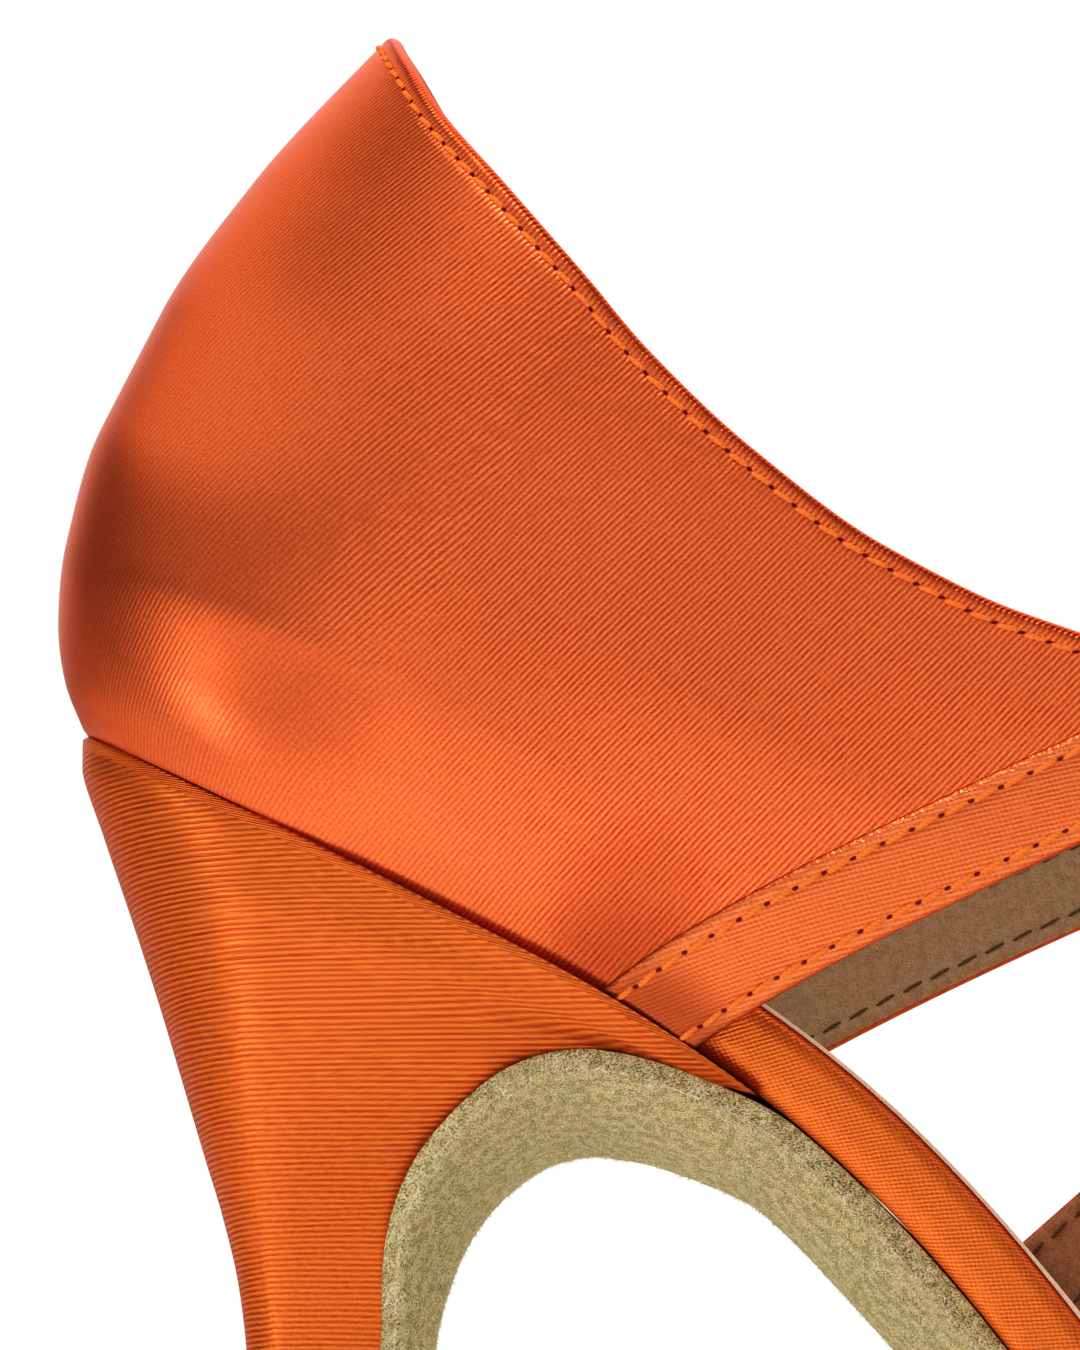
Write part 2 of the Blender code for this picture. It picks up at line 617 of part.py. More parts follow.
def lift_at(d):
    """How far the instep strap stands off its own line where it passes the buckle's fold."""
    step = STRAP_OUT + STRAP_IN + GAP
    over = BAR_DEPTH + WIRE + GAP + FOLD + GAP + STRAP_IN + 0.1
    knots = (BUCKLE_AT - 6, BUCKLE_AT - 1.6, BUCKLE_AT + 1.6, BUCKLE_AT + BUCKLE_LONG - 1.5)
    return smooth(d, knots, (step, over, over, 0.0))


def build_instep_strap():
    inner = np.concatenate((leg_rows(0, LEG, 13), cap_rows()))
    start = TAIL_END + np.array(column(TAIL_ROUND, 0))
    through = np.linspace(TAIL_END + 4, BUCKLE_AT + 10, 17)
    rest = cap_rows()[:, 0]
    outer = np.concatenate((start, through, rest[rest > BUCKLE_AT + 10.5]))[:, None]
    taper = smooth(outer, start, column(TAIL_ROUND, 1))
    outer = outer + 0 * ACROSS[None]
    grid = np.concatenate((instep_place(outer, ACROSS[None] * taper, OUTER),
                           instep_place(inner, ACROSS[None], INNER)[::-1]))
    lift = np.concatenate((lift_at(outer), np.zeros(inner.shape)))
    out = STRAP_OUT + lift - EDGE_SOFT[None]
    into = STRAP_IN - lift - EDGE_SOFT[None]
    strap = shell("instep_strap", grid[:, ::-1], out, into, "satin", sharp=50)
    place, along, across, outward = strap_frame(BUCKLE_AT)
    ahead, length = PRONG_HOLE
    hole = block("prong_hole", place + along * ahead + outward * 2.0, (along, across, outward),
                 (length, PRONG_SLOT, STRAP_WIDTH))
    return cut(strap, [hole])


def build_buckle_strap():
    """Short strap whose upper end folds round the buckle's bar, with a slot for the prong."""
    rows = leg_rows(0, BUCKLE_AT - WIRE - GAP - FOLD / 2, 16)
    grid = instep_place(rows, ACROSS[None], OUTER)
    strap = shell("buckle_strap", grid[:, ::-1], STRAP_OUT - EDGE_SOFT, STRAP_IN - EDGE_SOFT,
                  "satin", sharp=50)
    place, along, across, outward = strap_frame(BUCKLE_AT)
    bar = place + outward * BAR_DEPTH
    fold = rod("fold", bar, across, STRAP_WIDTH - 0.6, WIRE + GAP + FOLD)
    eye = rod("fold_eye", bar, across, STRAP_WIDTH * 2, WIRE + GAP)
    slot = block("prong_slot", bar, (along, across, outward),
                 (FOLD_SLOT, PRONG_SLOT, STRAP_WIDTH))
    return cut(cut(strap, [fold], "UNION"), [eye, slot])


def edge_place(s, side, h=0.0, out=0.0):
    """Point on the insole's edge at distance s, moved out square to the edge."""
    step = 0.5
    y = centre_at(s) + side * half_at(s)
    lean = (centre_at(s + step) + side * half_at(s + step) - y) / step * side
    s_out = s - out * lean / math.hypot(1, lean)
    y_out = y + side * out / math.hypot(1, lean)
    return on_bed(s_out, y_out, h)


def arch_grid(row, raise_by=0.0):
    """Middle sheet of a strap that goes over the foot from edge to edge."""
    s_outer, s_inner, lean, high, power, tilt = row
    seat = EDGE_CLEAR + (STRAP_OUT + STRAP_IN) / 2
    a = edge_place(s_outer, OUTER, 0, seat)
    b = edge_place(s_inner, INNER, 0, seat)
    span = (b - a) / 2
    half = np.linalg.norm(span)
    side = span / half
    up = np.array((math.cos(math.radians(lean)), 0, math.sin(math.radians(lean))))
    up = up - side * (up @ side)
    up /= np.linalg.norm(up)
    square = np.cross(side, up)
    turn = np.radians(np.linspace(-90, 90, 31))
    x = np.sign(turn) * half * np.abs(np.sin(turn)) ** (2 / power)
    z = high * np.abs(np.cos(turn)) ** (2 / power)
    line = (a + b) / 2 + x[:, None] * side + z[:, None] * up
    share = np.clip(z / high, 0, 1)
    blend = share * share * (3 - 2 * share)
    rows = []
    for p, f, t in zip(line, blend, turn):
        edge = OUTER if t < 0 else INNER
        s = s_outer if t < 0 else s_inner
        along = edge_place(s - 1, edge, 0, seat) - edge_place(s + 1, edge, 0, seat)
        along /= np.linalg.norm(along)
        aim = square * np.sign(square @ along)
        tip = math.radians(tilt) * f
        band = (1 - f) * along + f * (aim * math.cos(tip) + up * math.sin(tip))
        band /= np.linalg.norm(band)
        rows.append(p + ACROSS[:, None] * -band[None])
    return np.array(rows)


def build_arch(name, row):
    half = (STRAP_OUT + STRAP_IN) / 2
    return shell(name, arch_grid(row), half - EDGE_SOFT, half - EDGE_SOFT, "satin", sharp=50)


def build_vamp_straps():
    under = build_arch("vamp_straps", VAMP_UNDER)
    over = build_arch("vamp_over", VAMP_OVER)
    return cut(under, [over], "UNION")


# ---------------------------------------------------------------- buckle

def strap_frame(d):
    """Place, direction up the strap, direction across it and outward, on the outer side."""
    step = 0.5
    place, after, beside = (instep_place(np.array(q), np.array(a), OUTER)
                            for q, a in ((d, 0.0), (d + step, 0.0), (d, step)))
    along = after - place
    along /= np.linalg.norm(along)
    across = beside - place
    across -= along * (along @ across)
    across /= np.linalg.norm(across)
    out = np.cross(along, across)
    out *= np.sign(-out[1])
    return place, along, across, out


def build_keeper():
    place, along, across, out = strap_frame(KEEPER_AT)
    wide = STRAP_WIDTH / 2 + GAP + 0.1
    low = -STRAP_IN - GAP - 0.1
    high = STRAP_OUT + STRAP_OUT + STRAP_IN + 2 * GAP + 0.15
    soft = KEEPER_ROUND
    end = KEEPER_LONG / 2
    loop = ((wide, low + soft), (wide, high - soft), (wide - soft, high), (soft - wide, high),
            (-wide, high - soft), (-wide, low + soft), (soft - wide, low), (wide - soft, low))
    rows = []
    for w, n in loop:
        middle = place + across * w + out * n
        rows.append([middle + along * a for a in (-end, 0.4 - end, end - 0.4, end)])
    return shell("keeper", np.array(rows)[:, ::-1], (0.6, 0.9, 0.9, 0.6), 0.0, "satin", closed=True)


def buckle_bars():
    """Middles of the buckle's heel bar and front bar, with the ways across and outward."""
    place, _, across, out = strap_frame(BUCKLE_AT)
    heel_bar = place + out * BAR_DEPTH
    place_f, _, _, out_f = strap_frame(BUCKLE_AT + BUCKLE_LONG)
    front_bar = place_f + out_f * (STRAP_OUT + GAP + WIRE + 0.15)
    return heel_bar, front_bar, across, out


def build_buckle():
    heel_bar, front_bar, across, _ = buckle_bars()
    half = STRAP_WIDTH / 2 + GAP + WIRE + 0.2
    along = front_bar - heel_bar
    length = np.linalg.norm(along)
    along /= length
    points = []
    for end, w in ((0, -1), (1, -1), (1, 1), (0, 1)):
        centre = (heel_bar + along * (BUCKLE_ROUND + end * (length - 2 * BUCKLE_ROUND))
                  + across * w * (half - BUCKLE_ROUND))
        for turn in np.radians(np.linspace(0, 90, 4)):
            angle = turn if (end, w) in ((1, 1), (0, -1)) else math.pi / 2 - turn
            points.append(centre + along * (2 * end - 1) * BUCKLE_ROUND * math.cos(angle)
                          + across * w * BUCKLE_ROUND * math.sin(angle))
    return wire("buckle", points, WIRE, "metal", True)


def build_prong():
    heel_bar, front_bar, _, out = buckle_bars()
    along = front_bar - heel_bar
    along /= np.linalg.norm(along)
    out = out - along * (along @ out)
    out /= np.linalg.norm(out)
    hook = WIRE + GAP + PRONG
    points = []
    for turn in np.radians(np.linspace(-40, -270, 9)):
        points.append(heel_bar + along * hook * math.cos(turn) + out * hook * math.sin(turn))
    for ahead, above in PRONG_LINE:
        points.append(heel_bar + along * ahead + out * (hook + above))
    return wire("buckle_prong", points, PRONG, "metal", False)


# ---------------------------------------------------------------- assembly

def stand_on_origin(made):
    """Puts the middle of the whole box over the origin."""
    graph = bpy.context.evaluated_depsgraph_get()
    points = []
    for o in made:
        solid = o.evaluated_get(graph)
        points += [tuple(v.co) for v in solid.to_mesh().vertices]
        solid.to_mesh_clear()
    middle = (np.min(points, 0) + np.max(points, 0)) / 2
    for o in bpy.data.objects:
        o.location.x -= middle[0]
        o.location.y -= middle[1]
    print("middle of the box, mm", (middle / MM).round(3))


def main():
    for old in list(bpy.data.objects):
        bpy.data.objects.remove(old, do_unlink=True)
    made = [build_insole(), build_sock(), build_outsole(), build_heel(), build_heel_tip(),
            build_counter(), build_buckle_strap(), build_instep_strap(),
            build_arch("midfoot_strap", MIDFOOT), build_vamp_straps(), build_keeper(),
            build_buckle(), build_prong()]
    stand_on_origin(made)


main()
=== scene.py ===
# %% [markdown]
# # A latin dance sandal
# A woman's dance shoe with a closed satin back, a flared heel about 84 mm high, thin straps and a
# raw suede sole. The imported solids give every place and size. This file dresses them: it follows
# the same lines as the solids at a finer step, and adds cloth, nap, linings and stitches.

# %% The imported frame
import math

import bmesh
import bpy
import numpy as np
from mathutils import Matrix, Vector


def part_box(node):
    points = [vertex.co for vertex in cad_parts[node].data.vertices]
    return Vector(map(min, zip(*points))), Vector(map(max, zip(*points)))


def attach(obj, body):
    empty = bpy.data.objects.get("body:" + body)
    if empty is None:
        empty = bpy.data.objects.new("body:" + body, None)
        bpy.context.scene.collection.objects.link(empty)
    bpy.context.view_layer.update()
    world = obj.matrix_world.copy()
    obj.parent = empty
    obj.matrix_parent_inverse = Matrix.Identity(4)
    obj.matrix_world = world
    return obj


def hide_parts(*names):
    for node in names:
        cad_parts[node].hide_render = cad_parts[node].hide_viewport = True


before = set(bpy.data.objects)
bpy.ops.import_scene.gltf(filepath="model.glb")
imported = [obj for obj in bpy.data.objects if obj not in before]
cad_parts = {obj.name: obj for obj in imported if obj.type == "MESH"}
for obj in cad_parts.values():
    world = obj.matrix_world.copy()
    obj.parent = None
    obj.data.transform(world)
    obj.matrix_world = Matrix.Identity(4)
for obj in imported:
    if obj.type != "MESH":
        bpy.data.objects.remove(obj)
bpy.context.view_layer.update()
print("nodes", sorted(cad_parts))

# %% [markdown]
# ## Curves through a few sizes
# A last maker measures a shoe at a few places and lets the line between them run smoothly. A
# spline could draw that line, but it may swing past a size. The curve here stays between its
# neighbours, so a width that only grows in a table only grows on the shoe.


# %% Smooth curves through a table
def smooth(x, knots, values):
    """Monotone cubic through the knots, flat beyond both ends. values may have more axes."""
    x, knots, values = (np.asarray(a, float) for a in (x, knots, values))
    extra = (slice(None),) + (None,) * (values.ndim - 1)
    step = np.diff(knots)
    rise = np.diff(values, axis=0) / step[extra]
    slope = np.concatenate((rise[:1], np.zeros_like(rise[1:]), rise[-1:]))
    both = rise[:-1] * rise[1:]
    total = np.where(both > 0, rise[:-1] + rise[1:], 1)
    slope[1:-1] = np.where(both > 0, 2 * both / total, 0)
    i = np.clip(np.searchsorted(knots, x, side="right") - 1, 0, len(step) - 1)
    t = np.clip((x - knots[i]) / step[i], 0, 1)

    def at(table, k):
        return np.take_along_axis(table, k[None], 0)[0] if table.ndim > 1 else table[k]
    keep = (1 + 2 * t) * (1 - t) ** 2 * at(values, i) + t * t * (3 - 2 * t) * at(values, i + 1)
    return keep + step[i] * (t * (1 - t) ** 2 * at(slope, i) - t * t * (1 - t) * at(slope, i + 1))


def column(table, index):
    return [row[index] for row in table]


def read(table, x, index=1):
    """One column of a table at x, read smoothly over the table's first column."""
    return smooth(x, column(table, 0), column(table, index))


# %% Short names for common steps on grids of points
def unit(ways):
    """Ways scaled to length one."""
    return ways / np.linalg.norm(ways, axis=-1, keepdims=True)


def together(*axes):
    """Coordinates put side by side, each repeated where it has fewer rows or columns."""
    return np.stack(np.broadcast_arrays(*axes), -1)


def wrapped(grid, axis=1):
    """Grid that ends with its first column, or row, once more."""
    return np.concatenate((grid, np.take(grid, [0], axis)), axis)


def run_along(points, axis=0):
    """Length run along one axis of a grid of points, from zero."""
    step = np.linalg.norm(np.diff(points, axis=axis), axis=-1)
    return np.insert(np.cumsum(step, axis), 0, 0, axis)


# %% [markdown]
# ## The bed line
# A shoe is built on a last, so its parts share a few side-view lines. The bed is the underside of
# the insole, from the seat over the arch to the ball and the toe. It is kept as slopes along its
# length, because a bent board is easier to describe by how it bends than by where it is. Sizes
# are millimetres in the shoe's own frame.

# %% Bed line
MM = 0.001
GAP = 0.3                       # between neighbouring solids
OUTER, INNER = -1, 1            # lateral side at -Y, medial side at +Y
BED = (                         # distance from the seat's back, slope in degrees
    (-12, 27.0), (42, 27.5), (58, 35), (72, 45), (86, 52), (100, 53), (126, 32), (150, 15),
    (163, 0), (190, 0), (245, -9))
BALL = 175                      # where the bed lies flat over the sole
SOLE_EDGE = 3.0                 # thickness of the sole there
LINE_STEP = 0.25


def chain(rows):
    """Side-view line from slopes: distances, x, z and the slope in radians, from its first row."""
    s = np.arange(rows[0][0], rows[-1][0] + LINE_STEP / 2, LINE_STEP)
    slope = np.radians(np.interp(s, column(rows, 0), column(rows, 1)))
    middle = (slope[1:] + slope[:-1]) / 2
    x = np.concatenate(([0], np.cumsum(np.cos(middle)))) * LINE_STEP
    z = np.concatenate(([0], np.cumsum(-np.sin(middle)))) * LINE_STEP
    return s, x, z, slope


def on_line(line, s, y, h):
    """Point at distance s along a side-view line, y across, h square to it."""
    slope = np.interp(s, line[0], line[3])
    x = np.interp(s, line[0], line[1]) + h * np.sin(slope)
    z = np.interp(s, line[0], line[2]) + h * np.cos(slope)
    return together(x, y, z)


BED_S, BED_X, BED_Z, BED_SLOPE = chain(BED)
BED_X = BED_X - np.interp(0, BED_S, BED_X)
BED_Z = BED_Z - np.interp(BALL, BED_S, BED_Z) + SOLE_EDGE + GAP


def on_bed(s, y, h):
    return on_line((BED_S, BED_X, BED_Z, BED_SLOPE), s, y, h)


print("bed line", len(BED_S), "places, highest", round(float(BED_Z.max()), 1), "mm")

# %% [markdown]
# ## The sole line
# The suede leaves the insole at the heel's lip and turns down the heel's front. On the real shoe
# it is one flap of leather, so its line is the bed's line with the heel's front put before it.
# Distances below the lip then name places down the heel, and the others places along the bed.

# %% Sole line
LIP = 65.5
BREAST = (                      # distance, slope in degrees, from the heel's tip up to the lip
    (-20, -89), (21, -85), (25, -80), (28, -70), (31.2, -60), (33.7, -51), (36, -44),
    (39.8, -38), (42.6, -25), (45.2, -14), (47.3, -4), (49.4, 6.5), (51.4, 11.7), (55, 19.5),
    (60, 24), (63, 30), (LIP, 40.5))


def sole_line():
    """The sole's upper face in side view: up the heel's front first, then along the bed."""
    s, x, z, slope = chain(BREAST)
    ahead = BED_S > LIP
    join = on_bed(LIP, 0, -GAP)
    front = on_bed(BED_S[ahead], 0, -GAP)
    return (np.concatenate((s, BED_S[ahead])),
            np.concatenate((x - x[-1] + join[0], front[:, 0])),
            np.concatenate((z - z[-1] + join[2], front[:, 2])),
            np.concatenate((slope, BED_SLOPE[ahead])))


SOLE_LINE = sole_line()


def on_sole(s, y, h):
    return on_line(SOLE_LINE, s, y, h)


print("heel's lip at", on_sole(LIP, 0, 0).round(1))

# %% [markdown]
# ## The insole's outline
# The board is cut from a paper pattern: a round seat, a narrow waist, a wide ball and a toe that
# leans to the inner side. A table of half widths makes everything but the two ends. The seat's
# back and the toe are quarter ellipses, because a curve through a few sizes can't close an end.

# %% Insole outline
SEAT_CENTRE, SEAT_BACK, SEAT_HALF = 25.0, 22.6, 23.0
TOE_START, TOE_LENGTH, TOE_TURN = 172.0, 73.0, 8.0
INSOLE = (                      # distance, centre y, half width
    (25, 0.0, 23.0), (35, 0.0, 22.6), (45, 0.0, 21.5), (60, -0.5, 19.0), (80, -1.5, 17.0),
    (100, -2.0, 18.0), (120, -2.0, 23.0), (140, -2.0, 30.5), (155, -1.0, 35.5),
    (172, 0.5, 37.0))


def toe_share(s):
    return np.clip((s - TOE_START) / TOE_LENGTH, 0, 1)


def centre_at(s):
    return read(INSOLE, s) + TOE_TURN * toe_share(s) ** 1.5


def half_at(s):
    """Half width of the insole from the seat's widest place forward."""
    return read(INSOLE, s, 2) * np.sqrt(1 - toe_share(s) ** 2)


def insole_outline():
    """The edge as two rows of (distance, y), inner side and outer side, from back to toe."""
    turn = np.radians(np.linspace(89, 2, 40))
    middle = np.linspace(SEAT_CENTRE, TOE_START, 180)
    bend = np.radians(np.linspace(1, 89, 60))
    s = np.concatenate((SEAT_CENTRE - SEAT_BACK * np.sin(turn), middle,
                        TOE_START + TOE_LENGTH * np.sin(bend)))
    half = np.concatenate((SEAT_HALF * np.cos(turn), half_at(s[len(turn):])))
    return together(s, centre_at(s) + half), together(s, centre_at(s) - half)


def widen(loop, amount):
    """Closed plane loop moved outwards."""
    along = unit(np.roll(loop, -1, 0) - np.roll(loop, 1, 0))
    return loop + together(-along[:, 1], along[:, 0]) * amount


print("insole", len(insole_outline()[0]), "places a side")

# %% [markdown]
# ## The upper's surface
# The back of the upper leans out over the seat and comes in again to the ankle. It is described
# as cloth is: how far round from the back seam, and how far up. A table says how far the wall
# bulges out at each height, in columns for five places round it, from the back to the front.

# %% The upper's wall
SEAT_TILT = math.radians(BED[0][1])
SEAT_Z = float(on_bed(0, 0, 0)[2])
WALL = 1.6
WALL_FOOT = GAP + WALL
BACK_RUN = 38.0                 # from the back seam round to the seat's widest place
BULGE_AT = (0.0, 38.0, 63.0, 90.0, 115.0)
BULGE = (                       # height, back, widest, waist, front, beyond
    (-4, -4.0, -1.5, -1.0, -1.0, -1.0),
    (0, 0.0, 0.0, 0.0, 0.0, 0.0), (3, 3.5, 2.0, 1.9, 1.5, 1.5), (7, 6.3, 3.6, 3.6, 3.3, 3.3),
    (13, 8.7, 5.0, 5.3, 5.5, 6.0), (22, 10.4, 5.3, 6.3, 7.8, 9.0), (32, 10.4, 4.6, 6.3, 9.3, 11.0),
    (44, 8.7, 2.6, 5.2, 10.0, 11.8), (60, 4.1, -1.0, 3.0, 10.0, 11.8))


def on_seat(forward, y, up):
    """Point from the seat's own axes: along the seat, across, and square to it."""
    x = forward * math.cos(SEAT_TILT) + up * math.sin(SEAT_TILT)
    z = SEAT_Z - forward * math.sin(SEAT_TILT) + up * math.cos(SEAT_TILT)
    return together(x, y, z)


def bed_below(forward):
    """Height of the bed line over the seat plane, which it leaves at the waist."""
    ahead = BED_X * math.cos(SEAT_TILT) - (BED_Z - SEAT_Z) * math.sin(SEAT_TILT)
    above = BED_X * math.sin(SEAT_TILT) + (BED_Z - SEAT_Z) * math.cos(SEAT_TILT)
    return np.interp(forward, ahead, above)


def on_wall(around, up):
    """Outer face of the upper's wall. around is below zero on the outer side of the foot."""
    around, up = np.broadcast_arrays(np.asarray(around, float), np.asarray(up, float))
    side = np.where(around < 0, OUTER, INNER)
    run = np.abs(around)
    bulges = np.stack([read(BULGE, up, 1 + k) for k in range(len(BULGE_AT))])
    bulge = smooth(run, BULGE_AT, bulges)
    turn = np.radians(90 * (1 - np.clip(run / BACK_RUN, 0, 1)))
    ahead = SEAT_CENTRE + np.maximum(run - BACK_RUN, 0)
    forward = ahead - (SEAT_BACK + WALL_FOOT + bulge) * np.sin(turn)
    half = np.where(run < BACK_RUN, SEAT_HALF, half_at(ahead))
    return on_seat(forward, centre_at(ahead) + side * (half + WALL_FOOT + bulge) * np.cos(turn), up)


print("seat is", round(SEAT_Z, 2), "mm above the floor at its back")

# %% [markdown]
# ## The ankle strap's path
# Two straps rise from the arch, one on each side of the foot, and meet in the buckle. Each leans
# back along the counter's front edge, lies on the wall up to the ankle and then turns over the
# instep. The turn is a rounded square seen from the front, because a foot is flatter than a hoop.

# %% The ankle strap's path
STRAP_WIDTH, STRAP_OUT, STRAP_IN = 7.4, 0.5, 1.1    # width, and how thick outside and inside
STRAP_ROOT = (52.0, -0.6)
STRAP_RISE = (                  # distance from the root, slope in degrees
    (-8, 59), (0, 59), (8, 55), (20, 51.5), (40, 50.5), (110, 50.5))
LEG, INSTEP, INSTEP_POWER = 46.0, 86.0, 2.5         # where it leaves the leg, and its top
INNER_RAISE = 0.6               # the inner strap runs a little higher than the outer one
RAISED_AT = (0, 33, LEG, INSTEP), (0, 1, 1, 0)      # distances, and the share of that raise

STRAP_D, STRAP_F, STRAP_U, STRAP_SLOPE = chain(STRAP_RISE)
STRAP_F = STRAP_F - np.interp(0, STRAP_D, STRAP_F) + STRAP_ROOT[0]
STRAP_U = np.interp(0, STRAP_D, STRAP_U) - STRAP_U + STRAP_ROOT[1]


def strap_line(d, across, side=OUTER):
    """Seat-plane place (forward, up) on the instep strap, d from its root, across its width."""
    if side == INNER:
        across = across - INNER_RAISE * smooth(d, *RAISED_AT)
    slope = np.interp(d, STRAP_D, STRAP_SLOPE)
    return (np.interp(d, STRAP_D, STRAP_F) + across * np.sin(slope),
            np.interp(d, STRAP_D, STRAP_U) - across * np.cos(slope))


def strap_start(across):
    """Where the strap line meets the insole's underside, at a place across the strap."""
    d = 0.0
    for _ in range(12):
        forward, up = strap_line(d, across)
        d -= float(up - bed_below(forward))
    return d


def instep_place(d, across, side):
    """Middle sheet of the instep strap: up the wall, then over the instep."""
    turn = np.clip((d - LEG) / (INSTEP - LEG), 0, 1)
    forward, up = strap_line(d, across, side)
    leg_f, leg_u = strap_line(np.minimum(d, LEG), across, side)
    foot = on_wall(side * (leg_f - SEAT_CENTRE + BACK_RUN), leg_u)
    place = on_seat(forward, foot[..., 1], up)
    place[..., 1] = foot[..., 1] * (1 - turn ** INSTEP_POWER) ** (1 / INSTEP_POWER)
    return place


print("strap's middle meets the bed at", round(strap_start(0.0), 2), "mm from its root")

# %% [markdown]
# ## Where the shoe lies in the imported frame
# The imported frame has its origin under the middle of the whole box, and the lines above start at
# the seat. The insole's box gives the shift between the two: its toe and its two sides are known
# in both. Reading it from the frame keeps every piece on its solid if the solids move.

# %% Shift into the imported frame
INSOLE_WIDEST_AT = 2.2          # height over the bed where the board's edge stands out most


def frame_shift():
    """From the shoe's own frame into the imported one, in millimetres."""
    low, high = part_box("insole")
    edge = np.concatenate(insole_outline())
    toe = on_bed(edge[:, 0], 0, INSOLE_WIDEST_AT)[:, 0].max()
    middle = (edge[:, 1].max() + edge[:, 1].min()) / 2
    return np.array((high.x / MM - toe, (low.y + high.y) / 2 / MM - middle, 0.0))


SHIFT = frame_shift()
print("shift of the shoe's own frame, mm", SHIFT.round(3))

# %% [markdown]
# ## From points to pieces
# Every visible piece is a mesh object that rides on the shoe's one body, and hides the solids it
# replaces. Each corner also gets its place on the flat cloth in millimetres, as a coordinate
# named cloth. Weave and nap read that, so the threads follow a piece the way it was cut, and bend
# with it. A sewn piece has a second one named seam: how far along its seam, and how far inside.


# %% Mesh objects
def make_piece(name, points, faces, finishes, cloth, pick=0, replaces=(), slot="satin", sharp=60,
               seam=None):
    """Mesh object on the shoe's one body. points are millimetres in the shoe's own frame."""
    mesh = bpy.data.meshes.new(name)
    mesh.from_pydata(((np.asarray(points) + SHIFT) * MM).tolist(), [], np.asarray(faces).tolist())
    for title, places in (("cloth", cloth), ("seam", seam)):
        if places is not None:
            layer = mesh.uv_layers.new(name=title)
            layer.uv.foreach_set("vector", np.asarray(places, np.float32).ravel())
    for finish in finishes:
        mesh.materials.append(finish)
    mesh.polygons.foreach_set("material_index", np.broadcast_to(pick, len(faces)).astype(np.int32))
    work = bmesh.new()
    work.from_mesh(mesh)
    bmesh.ops.recalc_face_normals(work, faces=work.faces)
    work.to_mesh(mesh)
    work.free()
    mesh.shade_smooth()
    mesh.set_sharp_from_angle(angle=math.radians(sharp))
    made = bpy.data.objects.new(name, mesh)
    bpy.context.scene.collection.objects.link(made)
    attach(made, "root")
    if replaces:
        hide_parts(*replaces)
    print(f"{name}: {len(faces)} faces")


def quads(index):
    """Corners of the faces between neighbouring rows and columns of an index table."""
    return np.stack((index[:-1, :-1], index[:-1, 1:], index[1:, 1:], index[1:, :-1]),
                    -1).reshape(-1, 4)


# %% [markdown]
# ## Rings and hoops
# A heel, a board and a wire are sections carried along a line. Rings joined in order make them,
# and strips of faces close the two ends. A hoop also joins its last ring to its first. This keeps
# the rows of faces along the piece, which the cloth's coordinate needs.


# %% Rings and hoops
def ring_cloth(rings):
    """Cloth place of closed rings: first axis round them, second across from ring to ring."""
    around = run_along(wrapped(rings[len(rings) // 2], 0))
    over = run_along(rings[:, rings.shape[1] // 4])
    return together(around[None], over[:, None])


def ring_skin(name, rings, cloth, finishes, seam=None, **facts):
    """Closed rings joined in order, with strips over both ends. cloth has one column more."""
    count, size = rings.shape[:2]
    index = np.arange(count * size).reshape(count, size)
    slots = np.arange(count * (size + 1)).reshape(count, size + 1)
    faces, corners = [quads(wrapped(index))], [quads(slots)]
    half = np.arange(size // 2)
    pair = together(half, size - 1 - half)
    for end in (0, count - 1):
        faces.append(quads(index[end][pair]))
        corners.append(quads(slots[end][pair]))
    corners = np.concatenate(corners)
    flat, run = (None if one is None else one.reshape(-1, 2)[corners] for one in (cloth, seam))
    make_piece(name, rings.reshape(-1, 3), np.concatenate(faces), finishes, flat, seam=run, **facts)


CLOSING_RUN, CLOSING_GIRTH = 0.5, 0.2       # cloth that a hoop's last row and column take


def hoop_skin(name, rings, finishes, **facts):
    """Rings joined in order and the last to the first."""
    count, size = rings.shape[:2]
    index = wrapped(wrapped(np.arange(count * size).reshape(count, size), 0))
    corners = quads(np.arange(index.size).reshape(index.shape))
    run, girth = run_along(rings[:, 0]), run_along(rings[0])
    cloth = together(np.append(run, run[-1] + CLOSING_RUN)[:, None],
                     np.append(girth, girth[-1] + CLOSING_GIRTH))
    make_piece(name, rings.reshape(-1, 3), quads(index), finishes,
               cloth.reshape(-1, 2)[corners], **facts)


# %% [markdown]
# ## Sheets with a soft edge
# Cloth turned over an edge makes a round border, not a cut one. A sheet here has two sides that
# meet at its border, and each side rises from it as a quarter circle. A Solidify modifier would
# give square edges, and a bevel on top of it would need far more faces for the same roundness.


# %% Soft sheets
def normals_of(grid):
    return unit(np.cross(np.gradient(grid, axis=0), np.gradient(grid, axis=1)))


